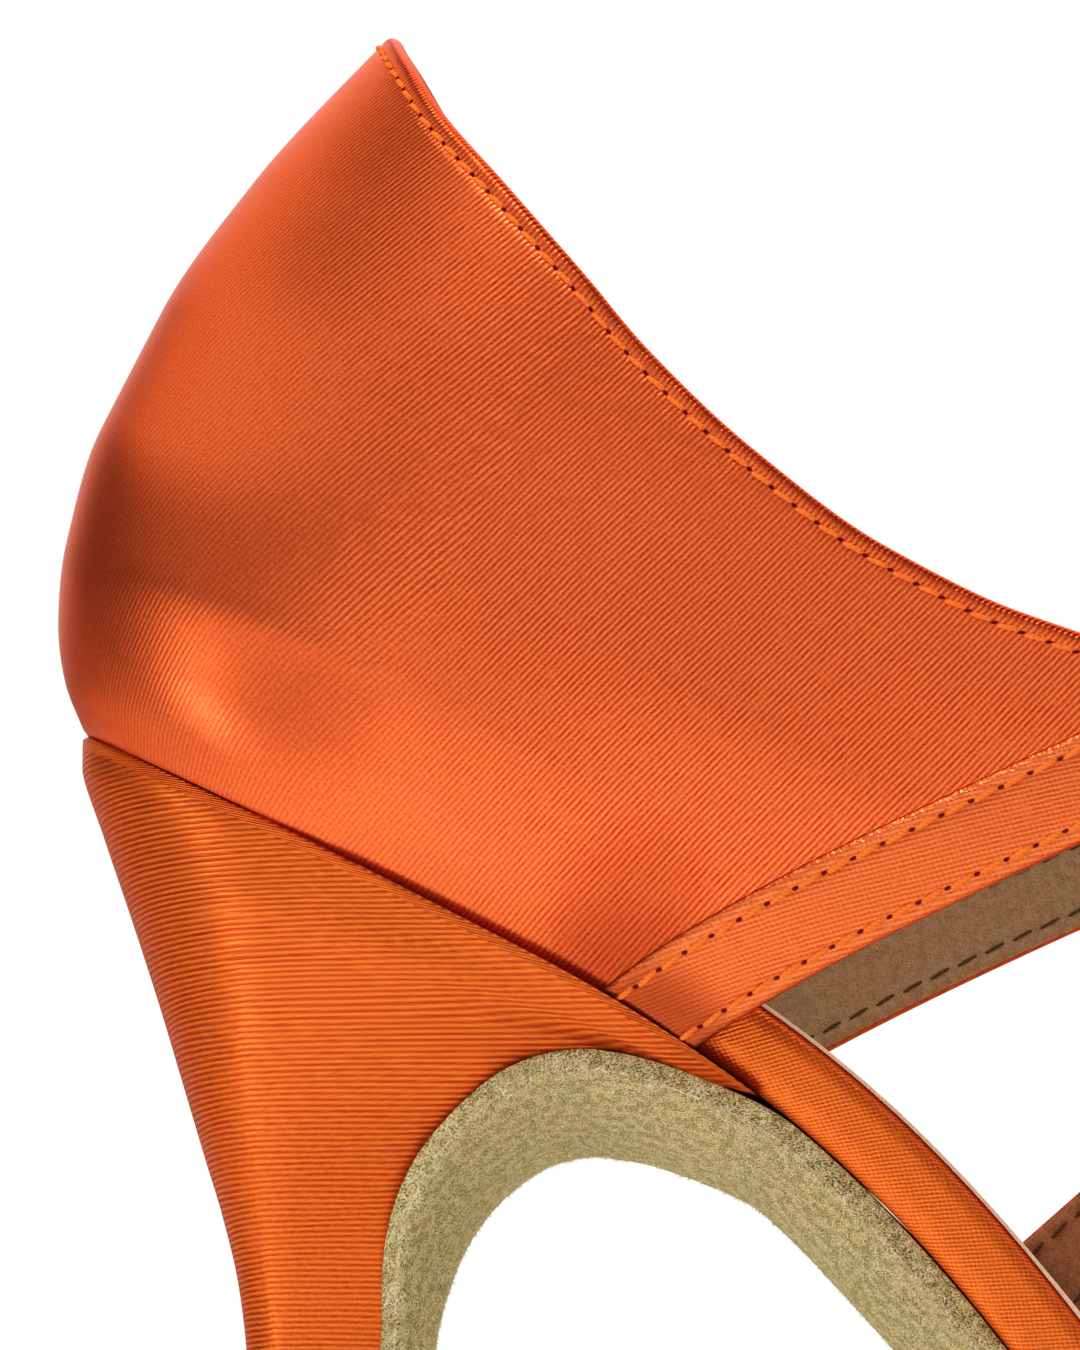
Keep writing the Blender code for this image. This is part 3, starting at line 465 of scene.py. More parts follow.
def soft_sheet(name, grid, high, low, cloth, finishes, back_pick=0, seam=None, gone=None, **facts):
    """Sheet with two sides, at heights over and under the grid, that meet at its border.

    gone marks the cells of an opening. Its two sides are joined by a wall round the opening.
    """
    rows, cols = grid.shape[:2]
    normal = normals_of(grid)
    front = np.arange(rows * cols).reshape(rows, cols)
    back = front.copy()
    back[1:-1, 1:-1] = rows * cols + np.arange((rows - 2) * (cols - 2)).reshape(rows - 2, cols - 2)
    points = np.concatenate(((grid + normal * high[..., None]).reshape(-1, 3),
                             (grid + normal * low[..., None])[1:-1, 1:-1].reshape(-1, 3)))
    gone = np.zeros((rows - 1, cols - 1), bool) if gone is None else gone
    kept = ~gone.ravel()
    walls = []
    for axis in (1, 0):
        r, c = np.nonzero(np.diff(gone, axis=axis))
        first, last = (r + 1 - axis, c + axis), (r + 1, c + 1)
        walls.append(np.stack((front[first], front[last], back[last], back[first]), -1))
    faces = np.concatenate((quads(front)[kept], quads(back)[kept][:, ::-1], *walls))
    picks = np.zeros(len(faces))
    picks[kept.sum():2 * kept.sum()] = np.broadcast_to(back_pick, gone.shape).ravel()[kept]
    flat_place = np.concatenate((front.ravel(), front[1:-1, 1:-1].ravel()))[faces]
    flat, run = (None if one is None else one.reshape(-1, 2)[flat_place] for one in (cloth, seam))
    make_piece(name, points, faces, finishes, flat, picks, seam=run, **facts)


def fold_share(edge, soft):
    """How far a folded edge has opened, 0 at its border and 1 past the fold."""
    return np.sqrt(1 - (1 - np.clip(edge / soft, 0, 1)) ** 2)


def crowded(first, last, count, fine):
    """Steps that are finer near both ends. fine is the share of the length each end takes."""
    t = np.linspace(0, 1, count)
    eased = t - np.sin(2 * np.pi * t) / (2 * np.pi)
    return first + (last - first) * ((1 - fine) * t + fine * eased)

# %% [markdown]
# ## Shader maths as plain expressions
# A material here is a sum of small patterns. Written as nodes by hand it would be pages long, so
# one class wraps a socket, and plus, minus and times add the Math nodes. Every other node comes
# from one method, which takes its type, its settings, and the values or links of its sockets.


# %% Socket maths
class Socket:
    """An output of a shader's node. Expressions on it add Math nodes to the same material."""

    def __init__(self, tree, output=None):
        self.tree = tree
        self.output = output

    def node(self, kind, sockets, output=0, stops=(), **settings):
        made = self.tree.nodes.new("ShaderNode" + kind)
        for key, value in settings.items():
            setattr(made, key, value)
        for i, (place, colour) in enumerate(stops):
            ramp = made.color_ramp.elements
            stop = ramp[i] if i < 2 else ramp.new(place)
            stop.position, stop.color = place, (*colour, 1)
        for key, value in sockets.items():
            if isinstance(value, Socket):
                self.tree.links.new(value.output, made.inputs[key])
            else:
                made.inputs[key].default_value = value
        return Socket(self.tree, made.outputs[output])

    def maths(self, operation, *values):
        return self.node("Math", dict(enumerate(values)), operation=operation)

    def __add__(self, other):
        return self.maths("ADD", self, other)

    def __sub__(self, other):
        return self.maths("SUBTRACT", self, other)

    def __rsub__(self, other):
        return self.maths("SUBTRACT", other, self)

    def __mul__(self, other):
        return self.maths("MULTIPLY", self, other)

    __radd__, __rmul__ = __add__, __mul__

    def split(self):
        """The three numbers of a place."""
        first = self.node("SeparateXYZ", {0: self})
        return [Socket(self.tree, one) for one in first.output.node.outputs]

    def wave(self, period):
        """Cosine wave between 0 and 1."""
        return 0.5 + 0.5 * self.maths("COSINE", self * (2 * math.pi / period))

    def step(self, low, high, first=0.0, last=1.0):
        """Smooth step from first to last while the value goes from low to high."""
        return self.node("MapRange", {0: self, 1: low, 2: high, 3: first, 4: last},
                         interpolation_type="SMOOTHSTEP")

    def blend(self, first, last):
        """Colour that goes from first to last as the value goes from 0 to 1."""
        colours = [c if isinstance(c, Socket) else (*c, 1) for c in (first, last)]
        return self.node("Mix", {0: self, 6: colours[0], 7: colours[1]}, output=2,
                         data_type="RGBA")

    def noise(self, scale, detail=2.0, rough=0.5):
        """Noise read at this place. scale is cells per millimetre of cloth."""
        return self.node("TexNoise", {"Vector": self, "Scale": scale, "Detail": detail,
                                      "Roughness": rough})

    def stretched(self, along, across, turn=0.0):
        """This place with its two axes scaled and turned, for a pattern that follows threads."""
        return self.node("Mapping", {"Vector": self, "Rotation": (0, 0, math.radians(turn)),
                                     "Scale": (along, across, 1)}, vector_type="TEXTURE")


# %% [markdown]
# ## A finish
# Each finish is one Principled shader. What is the same all over, such as how rough or metallic
# it is, is a number on the shader's own socket. What changes over the surface is linked: mostly
# the colour, and a height in millimetres that tilts the surface without adding faces.


# %% Making a finish
def linear(*rgb):
    """Linear colour from the usual 0 to 255 values."""
    return tuple(round((c / 255) ** 2.2, 4) for c in rgb)


def socket_name(key):
    return key.replace("_", " ").title().replace("Ior", "IOR")


def new_finish(name, **facts):
    """Material with constants on its shader's own sockets, and the place on its cloth."""
    made = bpy.data.materials.new(name)
    made.use_nodes = True
    shader = made.node_tree.nodes["Principled BSDF"]
    for key, value in facts.items():
        shader.inputs[socket_name(key)].default_value = value
    return made, Socket(made.node_tree).node("UVMap", {}, uv_map="cloth")


def seam_of(cloth):
    """How far along the piece's seam a place is, and how far inside it, in millimetres."""
    return cloth.node("UVMap", {}, uv_map="seam").split()[:2]


def dress(made, height, depth, **sockets):
    """Links what changes over the surface: named sockets, and a height in millimetres."""
    shader = made.node_tree.nodes["Principled BSDF"]
    links = made.node_tree.links
    for key, value in sockets.items():
        links.new(value.output, shader.inputs[socket_name(key)])
    bump = height.node("Bump", {"Height": height, "Distance": depth * MM, "Strength": 1.0})
    links.new(bump.output, shader.inputs["Normal"])
    print("finish", made.name, "with", len(made.node_tree.nodes), "nodes")
    return made


# %% [markdown]
# ## Needle holes
# A needle leaves a hole at both ends of a stitch and pulls the cloth down round it. The shade in
# each hole is painted into the colour. Holes cut into the mesh would cost thousands of faces. Here
# the distance to the nearest hole comes from the seam's own coordinate: the run turned back and
# forth by one stitch, and the way inside.

# %% Needle holes
PITCH, ROW_IN = 2.4, 1.25       # stitch length on the straps, and how far inside the edge
TOP_PITCH, TOP_IN = 2.15, 1.5   # the same along the top of the counter
HOLE_LONG = 1.7                 # a hole is this much longer than it is wide
# colour of the painted shade in a needle hole, and the hole's depth
HOLE_SHADE_COLOUR, HOLE_DEPTH = (0.16, 0.010, 0.010), 6


def needle_holes(run, inside, pitch, row):
    """1 in the holes of a row of stitches."""
    along = run.maths("PINGPONG", run, pitch / 2) * (1 / HOLE_LONG)
    aside = inside - row
    away = along * along + aside * aside
    return away.maths("POWER", away, 0.5).step(0.09, 0.18, 1.0, 0.0)


# %% [markdown]
# ## Satin
# Shoe satin has a fine diagonal rib. The thread lies in long floats, so light runs along the
# crests while the grooves stay deep and warm, and the colour has painted light on the crests and
# painted shade in the grooves, beside the bump. The rib is a wave across the cloth's own place,
# bent a little by slow noise because a hand drew the cloth over the last. The shine comes from
# a high metallic share, which tints reflections with the cloth's colour as silk does.

# %% Satin
SATIN_ROUGH = 0.29
SATIN_RIM = (0.9, 0.52, 0.48, 1.0)      # tint of the shine where the cloth turns away
HEM_PERIOD, HEM_STRENGTH = 0.45, 1.25
PAINTED_SHADE_SHARE = 0.35                   # colour of painted shade, as a share of the grooves' colour


def spot(u, v, place, reach):
    """1 at a place of the cloth, falling to 0 at reach along both axes."""
    a, b = (u - place[0]) * (1 / reach[0]), (v - place[1]) * (1 / reach[1])
    return (a * a + b * b).step(0.0, 1.0, 1.0, 0.0)


def satin(name, deep, bright, period, angle, depth, drift=0.6, metallic=0.75, stitched=None,
          calm=None, painted_shade_spots=(), hem=None, pebbled=False, fold_shade=None, woven=0.0):
    """Ribbed satin. angle turns the way across the ribs from the cloth's first axis.

    stitched: length and row of its stitches. calm: where on the cloth faint ribs become full
    ones. painted_shade_spots: spots of painted shade, as place, reach and strength. hem: width
    and angle of a strip with slanted ribs along the seam, with painted shade along the seam.
    pebbled: a crinkled strip outside the stitches. fold_shade: width of the painted shade along
    the turned edge. woven: strength of a second, crossing rib.
    """
    made, cloth = new_finish(name, metallic=metallic, roughness=SATIN_ROUGH,
                             specular_ior_level=0.0, specular_tint=SATIN_RIM)
    u, v, _ = cloth.split()
    run, inside = seam_of(cloth)
    bend = (cloth.noise(0.05, 1.0) - 0.5) * drift + (cloth.noise(1.6, 2.0) - 0.5) * 0.12

    def ribs(way, period):
        turn = math.radians(way)
        return (u * math.cos(turn) + v * math.sin(turn) + bend).wave(period)
    rib = ribs(angle, period)
    if hem:
        strip = (inside + cloth.noise(1.5) * 0.5).step(hem[0] + 0.2, hem[0] + 0.24, 1.0, 0.0)
        rib = rib + strip * (ribs(hem[1], HEM_PERIOD) * HEM_STRENGTH - rib)
    if woven:
        rib = rib + (ribs(angle + 78, period * 1.15) - 0.5) * woven
    strong = cloth.noise(0.9, 2.0).step(0.25, 0.7, 0.6, 1.25)
    if calm:
        strong = strong * (u + v * 0.9).step(*calm, 0.35, 1.0)
    rib = 0.5 + (rib - 0.5) * strong
    grain = cloth.stretched(0.10, 0.9, 90 + angle).noise(1.0, 3.0, 0.6)
    floats = cloth.stretched(0.35, 0.10, 90 + angle).noise(1.0, 2.0)
    speck = cloth.noise(5.0, 2.0, 0.6).step(0.34, 0.66)
    tone = (rib * 0.75 + grain.step(0.3, 0.7) * 0.12 + floats.step(0.25, 0.75) * 0.08
            + speck * 0.25 - 0.08)
    height = rib + floats * 0.35
    if pebbled:
        crinkle = cloth.noise(2.6, 2.0, 0.6) * inside.step(0.9, 1.2, 1.0, 0.0)
        tone, height = tone + crinkle * 0.5, height + crinkle * 7.0
    # Painted shade: spots, a strip along the seam and the turned edge darken the colour.
    shade = [spot(u, v, place, reach) * strength for place, reach, strength in painted_shade_spots]
    if hem:
        # painted shade along the hem's seam
        shade.append(inside.step(0.0, hem[0] * 0.6, 0.4, 0.0))
    if fold_shade:
        # painted shade along the turned edge
        shade.append(inside.step(fold_shade * 0.3, fold_shade, 0.75, 0.0))
    colour = tone.blend(deep, bright)
    for dark in shade:
        colour = dark.blend(colour, tuple(c * PAINTED_SHADE_SHARE for c in deep))
    if stitched:
        holes = needle_holes(run, inside, *stitched)
        # painted shade in the needle holes, with a bump down into them
        colour, height = holes.blend(colour, HOLE_SHADE_COLOUR), height - holes * HOLE_DEPTH
    return dress(made, height, depth, base_color=colour)


# %% [markdown]
# ## Four satins
# The counter's cloth is cut on the slant, the heel's lies across the block, and the insole's edge
# has a tighter, crossed weave. They take the light at different angles, so each has its own pair
# of colours, painted for the light and shade it shows. The counter is calm near its back, and has
# painted shade in spots low on its sides and along its turned top edge.

# %% Satins
# The counter's spots are painted shade low on its sides, and its turned top edge gets painted shade.
COUNTER_SATIN = satin(
    "counter_satin", (0.56, 0.040, 0.008), (0.98, 0.236, 0.080), 0.40, -18.6, 0.03,
    metallic=0.86, stitched=(TOP_PITCH, TOP_IN), calm=(38, 68), fold_shade=1.1,
    painted_shade_spots=(((61, 5), (8, 9), 0.3), ((64, 2), (10, 6), 0.3), ((30, 7), (12, 8), 0.22)))
# The heel's hem strip gets painted shade along its seam under the seat.
HEEL_SATIN = satin(
    "heel_satin", (0.46, 0.047, 0.012), (0.84, 0.208, 0.041), 0.41, 90, 0.045, hem=(1.0, -35),
    drift=0.8)
# The strap's spot is painted shade at the end where each strap starts, and its turned edges get painted
# shade.
STRAP_SATIN = satin(
    "strap_satin", (0.60, 0.085, 0.021), (0.88, 0.212, 0.070), 0.33, 102, 0.02,
    stitched=(PITCH, ROW_IN), pebbled=True, fold_shade=0.22, painted_shade_spots=(((0, 0), (7, 9), 0.6),),
    woven=0.3)
EDGE_SATIN = satin(
    "edge_satin", (0.60, 0.083, 0.010), (0.96, 0.237, 0.053), 0.30, 38, 0.025, drift=1.0,
    woven=0.45)

# %% [markdown]
# ## Suede, leather and rubber
# The sole is raw suede, whose nap lies in patches that turn light and dark. The linings are a
# finer, browner suede, and the sock is smooth peach leather. Each is noise at two sizes, because
# a nap has a patch size and a fibre size. A little sheen gives the pale rim of short fibres.


# %% Nap and leather
def nap(name, dark, middle, light, patch, fibre, depth, rough=0.95, crisp=0.14, comb=0.35):
    """Brushed nap in three tones. crisp: how sharply tones part. comb: how long fibres look."""
    dark, middle, light = (linear(*tone) for tone in (dark, middle, light))
    made, cloth = new_finish(name, roughness=rough, specular_ior_level=0.2, sheen_weight=0.35,
                             sheen_roughness=0.6, sheen_tint=(*light, 1.0))
    patches = cloth.noise(patch, 3.0, 0.6)
    fibres = cloth.stretched(1.0, comb, 25).noise(fibre, 3.0, 0.7)
    tone = (patches.step(0.5 - crisp * 1.4, 0.5 + crisp * 1.4) * 0.3
            + fibres.step(0.5 - crisp, 0.5 + crisp) * 0.7)
    colour = tone.node("ValToRGB", {0: tone}, stops=((0.1, dark), (0.9, light), (0.5, middle)))
    return dress(made, fibres * 0.6 + patches, depth, base_color=colour)


SOLE_SUEDE = nap("sole_suede", (106, 91, 46), (200, 177, 116), (248, 230, 176), 0.9, 5.0, 0.45,
                 crisp=0.065, comb=0.7)
LINING = nap("lining", (132, 104, 74), (166, 136, 104), (188, 160, 128), 1.2, 5.0, 0.1)
LINING_RED = nap("lining_red", (128, 84, 58), (158, 113, 84), (182, 137, 108), 1.2, 5.0, 0.1)
SOCK_LEATHER = nap("sock_leather", (216, 166, 136), (228, 182, 152), (236, 196, 168), 2.2, 5.0,
                   0.04, rough=0.6)
RUBBER = nap("tip_rubber", (34, 26, 22), (46, 36, 32), (62, 50, 44), 0.8, 6.0, 0.08, rough=0.7)
SOLE_FIBRES = nap("sole_fibres", (196, 178, 122), (226, 208, 158), (246, 234, 200), 0.5, 1.5, 0.02)
RIM_FIBRES = nap("rim_fibres", (214, 200, 156), (236, 226, 190), (250, 244, 222), 0.5, 1.5, 0.02)

# %% [markdown]
# ## Thread
# Sewing thread is twisted, so its plies show as slanted bands. A stitch is about 2 mm long, and a
# real twist in the mesh would hardly show. A slanted wave over the thread's own place does it.


# %% Thread
def thread(name, deep, bright):
    """Twisted thread: the plies show as slanted bands along it."""
    made, cloth = new_finish(name, roughness=0.6, specular_ior_level=0.0)
    along, around, _ = cloth.split()
    ply = (along + around * 0.5).wave(0.42)
    tone = ply * 0.4 + cloth.noise(5.0) * 0.6
    return dress(made, ply, 0.02, base_color=tone.blend(linear(*deep), linear(*bright)))


THREAD = thread("thread", (238, 102, 42), (255, 144, 74))
DARK_THREAD = thread("lining_thread", (78, 64, 40), (112, 92, 62))

# %% [markdown]
# ## Buckle metal
# The buckle is polished wire in a pale gold. Wear leaves fine scratches along the wire and duller
# patches. The metal's mirror does most of the work, so the colour changes only a little.


# %% Buckle metal
def buckle_metal():
    made, cloth = new_finish("buckle_metal", metallic=1.0, roughness=0.18)
    scratch = cloth.stretched(3.0, 0.2).noise(1.5, 4.0, 0.7)
    tone = (scratch * 0.5 + cloth.noise(0.7) * 0.5).step(0.3, 0.7)
    return dress(made, scratch, 0.01,
                 base_color=tone.blend(linear(206, 168, 108), linear(240, 210, 160)))


METAL = buckle_metal()

# %% [markdown]
# ## Insole board
# The insole is a board with satin drawn over its edge and glued below. Its edge is round, so the
# ring of each level is one outline moved in and out. A bevelled plate would also do, but rings
# keep the cloth running round the edge as the real strip does. Its top rim stands up round the
# sock, because the turned satin is thicker than the leather.

# %% Insole board with its satin edge
INSOLE_THICK = 4.8
LIP_RISE = 0.6
INSOLE_TOP = INSOLE_THICK + LIP_RISE
INSOLE_EDGE = (                 # height, how far out
    (0.0, -1.1), (0.25, -0.7), (0.8, -0.25), (2.0, 0.0), (3.8, -0.05), (4.7, -0.3), (5.1, -0.6),
    (INSOLE_TOP, -1.0))


def edge_rings(levels, grow):
    """Rings on the bed at each height, from the insole's outline moved by grow."""
    inner, outer = insole_outline()
    loop = np.concatenate((inner, outer[::-1]))
    edges = [widen(loop, out) for out in grow]
    return np.array([on_bed(edge[:, 0], edge[:, 1], h) for h, edge in zip(levels, edges)])


levels = np.linspace(0, INSOLE_TOP, 29)
insole_rings = edge_rings(levels, read(INSOLE_EDGE, levels))
ring_skin("insole_cover", insole_rings, ring_cloth(insole_rings), [EDGE_SATIN],
          replaces=("insole",))

# %% [markdown]
# ## Sock
# A thin leather sock covers the board. It is cut a little smaller, so a line of satin stays in
# view round it. Its border is a quarter circle made by the same rings, and its cloth place is
# simply the plan view, because a flat cut sheet of leather is hardly bent here.

# %% Sock
SOCK_THICK, SOCK_INSET, SOCK_ROUND = 0.6, 0.7, 0.25
SOCK_LIFT = 0.03                # it starts just over the board's rim
turn = np.radians(np.linspace(0, 90, 6))
sock_low = INSOLE_TOP + SOCK_LIFT
sock_high = INSOLE_THICK + GAP + SOCK_THICK
levels = np.concatenate(([sock_low], sock_high - SOCK_ROUND + SOCK_ROUND * np.sin(turn)))
inset = np.concatenate(([-SOCK_INSET], -SOCK_INSET - SOCK_ROUND + SOCK_ROUND * np.cos(turn)))
sock_rings = edge_rings(levels, inset)
ring_skin("sock_cover", sock_rings, wrapped(sock_rings)[..., :2], [SOCK_LEATHER],
          replaces=("sock",), slot="sock_leather")

# %% [markdown]
# ## Suede sole
# One sheet of suede runs from the toe, under the arch and down the front of the heel. Under the
# arch it bellies over the shank, so each cross section has a flat top and a crowned underside
# with a small bevel. Sections along the sole line make it, because its width, thickness and crown
# all change on the way, and a table of them is easy to read and to correct.

# %% Sole
SOLE = (                        # distance, half width at the edge, edge thickness, crown
    (-18, 5.6, 1.4, 0.8), (2, 5.9, 1.4, 0.9), (14, 6.8, 1.4, 1.2), (20, 8.0, 1.4, 1.6),
    (26, 12.0, 1.5, 2.2), (31.5, 15.2, 1.6, 2.6), (37, 17.6, 1.7, 2.9), (43, 19.4, 1.8, 3.9),
    (50, 20.0, 1.8, 4.6), (58, 18.8, 1.8, 4.6), (LIP, 17.2, 1.9, 4.5), (76, 15.4, 2.0, 4.7),
    (90, 15.2, 2.1, 4.3), (115, 19.0, 2.4, 2.0), (140, 28.9, 2.9, 0.5),
    (155, 34.3, SOLE_EDGE, 0.0), (172, 35.8, SOLE_EDGE, 0.0))
SOLE_INSET, SOLE_BEVEL = 1.2, 0.5
SOLE_RAISE = 0.22               # the sheet is pressed into the glue line under the insole
SOLE_REACH = TOE_LENGTH - SOLE_INSET
TOP_EDGE, TOP_DROP = 0.985, 0.1     # the upper corner, as a share of the width, and its rounding


def sole_section(s):
    """Closed section of the sole: one side, the belly, the other side and the top."""
    half, thick, crown = (float(read(SOLE, s, k)) for k in (1, 2, 3))
    half *= math.sqrt(1 - min(max((s - TOE_START) / SOLE_REACH, 0), 1) ** 2)
    middle = float(centre_at(s)) if s > LIP else float(centre_at(LIP)) * max(s, 0) / LIP
    bevel = min(SOLE_BEVEL, half * 0.3)
    under = np.linspace(1, -1, 44)
    corner = np.radians(np.linspace(0, 80, 6))
    side = together(1 - bevel / half * (1 - np.cos(corner)), bevel - thick - bevel * np.sin(corner))
    belly = together(under * (1 - bevel / half), -thick - crown * (1 - under ** 2))
    top = together(np.linspace(-0.93, 0.93, 11), SOLE_RAISE)
    edges = np.array([(way * TOP_EDGE, SOLE_RAISE - TOP_DROP) for way in (1, -1)])
    section = np.concatenate((edges[:1], side, belly, side[::-1] * (-1, 1), edges[1:], top))
    return on_sole(s, middle + section[:, 0] * half, section[:, 1])


bend = np.radians(np.linspace(0, 88, 40)[1:])
stations = np.concatenate((np.linspace(SOLE[0][0], LIP, 150), np.linspace(LIP, TOE_START, 160)[1:],
                           TOE_START + SOLE_REACH * np.sin(bend)))
sole_rings = np.array([sole_section(s) for s in stations])
girth = run_along(wrapped(sole_rings), 1)
BELLY_MIDDLE = 28               # column of a section where the belly's middle lies
sole_cloth = together(stations[:, None], girth - girth[:, [BELLY_MIDDLE]])
ring_skin("suede_sole", sole_rings, sole_cloth, [SOLE_SUEDE], replaces=("outsole",), slot="suede")

# %% [markdown]
# ## Frayed fibres
# Cut suede frays: loose fibres stand off its edges and catch the light. Thousands of them are
# needed, so they are thin three-sided spikes joined in one mesh, and not hair, which an exported
# model would lose. Most grow along the two edges, and shorter ones on the belly. A second set is
# paler and thicker, right on the rim.


# %% Spikes
def spikes(name, places, aims, lengths, widths, finish, cloth):
    """Many thin three-sided spikes with closed feet, joined in one mesh."""
    aside = unit(np.cross(aims, (0.31, 0.52, 0.79)))
    beside = np.cross(aims, aside)
    foot = [places + widths[:, None] * (math.cos(t) * aside + math.sin(t) * beside)
            for t in np.radians((0, 120, 240))]
    points = np.stack((*foot, places + aims * lengths[:, None]), 1)
    corners = np.array(((0, 1, 3), (1, 2, 3), (2, 0, 3), (2, 1, 0)))
    faces = (np.arange(len(places))[:, None, None] * 4 + corners).reshape(-1, 3)
    make_piece(name, points.reshape(-1, 3), faces, [finish], np.repeat(cloth, 12, axis=0),
               slot="suede")


OUTWARD, STRAY, ALONG = (0.15, 0.8), 0.55, 0.5      # shares of a fibre's way
FIBRE_WIDTHS, ROOTED = (0.03, 0.07), 0.05           # half width, and how deep its foot sits


def fibres_on(seed, rows, cols, count, reach):
    """Random places on part of the sole's skin, with ways that lean out along the nap."""
    draw = np.random.default_rng(seed)
    i = draw.uniform(0, rows - 1.001, count)        # never past the last row
    j = draw.uniform(*cols, count)
    r, c = i.astype(int), j.astype(int)
    out = normals_of(sole_rings)
    from_middle = sole_rings - sole_rings.mean(axis=1, keepdims=True)
    out *= np.sign(np.sum(out * from_middle, axis=2))[..., None]
    along = unit(np.gradient(sole_rings, axis=0))
    here = sole_rings[r, c]
    places = (here + (sole_rings[r + 1, c] - here) * (i - r)[:, None]
              + (sole_rings[r, c + 1] - here) * (j - c)[:, None])
    aims = out[r, c] * draw.uniform(*OUTWARD, (count, 1)) + draw.normal(0, STRAY, (count, 3))
    aims += along[r, c] * draw.normal(0, ALONG, (count, 1))
    near_floor = places[:, 2] < 1
    aims[:, 2] = np.where(near_floor, np.abs(aims[:, 2]), aims[:, 2])
    aims = unit(aims)
    return (places - aims * ROOTED, aims, draw.uniform(*reach, count),
            draw.uniform(*FIBRE_WIDTHS, count), sole_cloth[r, c])


# %% Fibres of the suede
EDGE_REACH, RIM_REACH, BELLY_REACH = (0.25, 0.7), (0.25, 0.55), (0.15, 0.45)
SOLE_FRAY = (                   # seed, rows, columns of the sole's skin, count, lengths
    (1, 330, (0, 1.2), 3500, EDGE_REACH), (2, 330, (55.7, 56.9), 3500, EDGE_REACH),
    (4, 330, (1.2, 6.9), 3500, EDGE_REACH), (5, 330, (50.1, 55.7), 3500, EDGE_REACH),
    (3, 310, (7, 50), 13000, BELLY_REACH))
RIM_FRAY = ((6, 330, (0.1, 1.6), 3500, RIM_REACH), (7, 330, (55.3, 56.8), 3500, RIM_REACH))
RIM_THICKER = 1.3

for name, parts, finish, thicker in (("sole_fibres", SOLE_FRAY, SOLE_FIBRES, 1.0),
                                     ("rim_fibres", RIM_FRAY, RIM_FIBRES, RIM_THICKER)):
    drawn = zip(*[fibres_on(*part) for part in parts])
    places, aims, lengths, widths, cloth = (np.concatenate(one) for one in drawn)
    spikes(name, places, aims, lengths, widths * thicker, finish, cloth)

# %% [markdown]
# ## Heel
# The heel is a shaped block with satin pulled round it, so the ribs of the cloth lie across it.
# Its sections are flat in front, where the sole's flap is glued, and round behind. A lathe can't
# make that, so each section is drawn between two side-view points, one on the back line and one
# on the sole line, and the skin runs smoothly through them.

# %% Sections of the heel
HEEL_BACK = (                   # height, x
    (6, 12.2), (20, 13.2), (34, 13.3), (43.7, 12.9), (47.6, 12.4), (51.4, 11.6), (55.2, 10.5),
    (62.9, 8.2), (70.7, 5.8), (78.4, 3.2), (86.3, 0.5), (90, -0.5))
HEEL_SECTIONS = (               # back height, sole-line distance in front, half width, at front
    (87.6, 58.2, 25.1, 19.3), (82.0, 54.5, 24.9, 19.6), (76.0, 49.5, 23.8, 19.9),
    (69.0, 44.3, 21.8, 19.3), (63.0, 39.0, 19.4, 17.9), (57.5, 34.3, 16.6, 15.6),
    (52.5, 29.8, 13.6, 13.1), (47.6, 25.2, 10.9, 10.6), (42.5, 19.2, 8.8, 8.0),
    (36.0, 12.5, 7.5, 6.7), (26.0, 2.4, 6.6, 5.9), (15.0, -8.7, 6.2, 5.6), (6.3, -18.0, 6.3, 5.6))
HEEL_WIDEST = 0.46              # where a section is widest, from its back to its front


def d_section(back, front, half, half_front, centre=0.0):
    """Closed outline between two side-view points, round at its back and flat at its front."""
    turn = np.radians(np.linspace(88, 0, 44))
    ahead = np.linspace(0, 1, 40)[1:]
    flat = np.linspace(1, 0.03, 16)[1:]
    place = np.concatenate((HEEL_WIDEST * (1 - np.sin(turn)),
                            HEEL_WIDEST + (1 - HEEL_WIDEST) * ahead, np.ones(len(flat))))
    width = np.concatenate((half * np.cos(turn), half + (half_front - half) * ahead ** 2,
                            half_front * flat))
    line = np.asarray(back)[None] + (np.asarray(front) - back)[None] * place[:, None]
    rows = [together(line[:, 0], centre * place + side * width, line[:, 1]) for side in (1, -1)]
    return np.concatenate((rows[0], rows[1][::-1]))


def heel_ring(height, s, half, half_front):
    back = (float(read(HEEL_BACK, height)), height)
    return d_section(back, on_sole(s, 0, BREAST_GAP)[[0, 2]], half, half_front)


# %% [markdown]
# ## Heel's skin
# The top section lies on the seat's underside and is a little wider than the board. The rim under
# the seat is rounded, as cloth is where it turns in, and the rounding fades towards the waist.
# Ribs that slant along this rim come from the seam's own coordinate, which runs down from it.

# %% Heel
HEEL_RIM = 2.2
SEAT_GAP, BREAST_GAP = 0.1, 0.12
HEEL_TOP = (58.8, 19.8, -0.4)   # front distance, half width and centre of the top section
HEEL_UNDER = 2.6                # the satin runs on a little under the insole, past the block
HEEL_SOFT = 0.3                 # rounding of the rim
HEEL_SOFT_AT = (12, 32), (1.0, 0.1)

front, half_front, centre = HEEL_TOP
seat = d_section((SEAT_CENTRE - SEAT_BACK - HEEL_RIM, 0.0), (front + HEEL_UNDER, 0.0),
                 SEAT_HALF + HEEL_RIM, half_front, centre)
coarse = np.array([on_bed(seat[:, 0], seat[:, 1], -SEAT_GAP)]
                  + [heel_ring(*row) for row in HEEL_SECTIONS])
order = np.arange(len(coarse))
flat = coarse.reshape(len(coarse), -1)
heel_rings = np.array([smooth(np.full(flat.shape[1], level), order, flat).reshape(-1, 3)
                       for level in np.linspace(0, order[-1], 170)])
below = run_along(heel_rings)
inward = unit((heel_rings.mean(axis=1, keepdims=True) - heel_rings) * (1, 1, 0))
soft = HEEL_SOFT * smooth(heel_rings[..., 0], *HEEL_SOFT_AT) * (1 - fold_share(below, HEEL_SOFT))
heel_rings = heel_rings + inward * soft[..., None]
closed = wrapped(heel_rings)
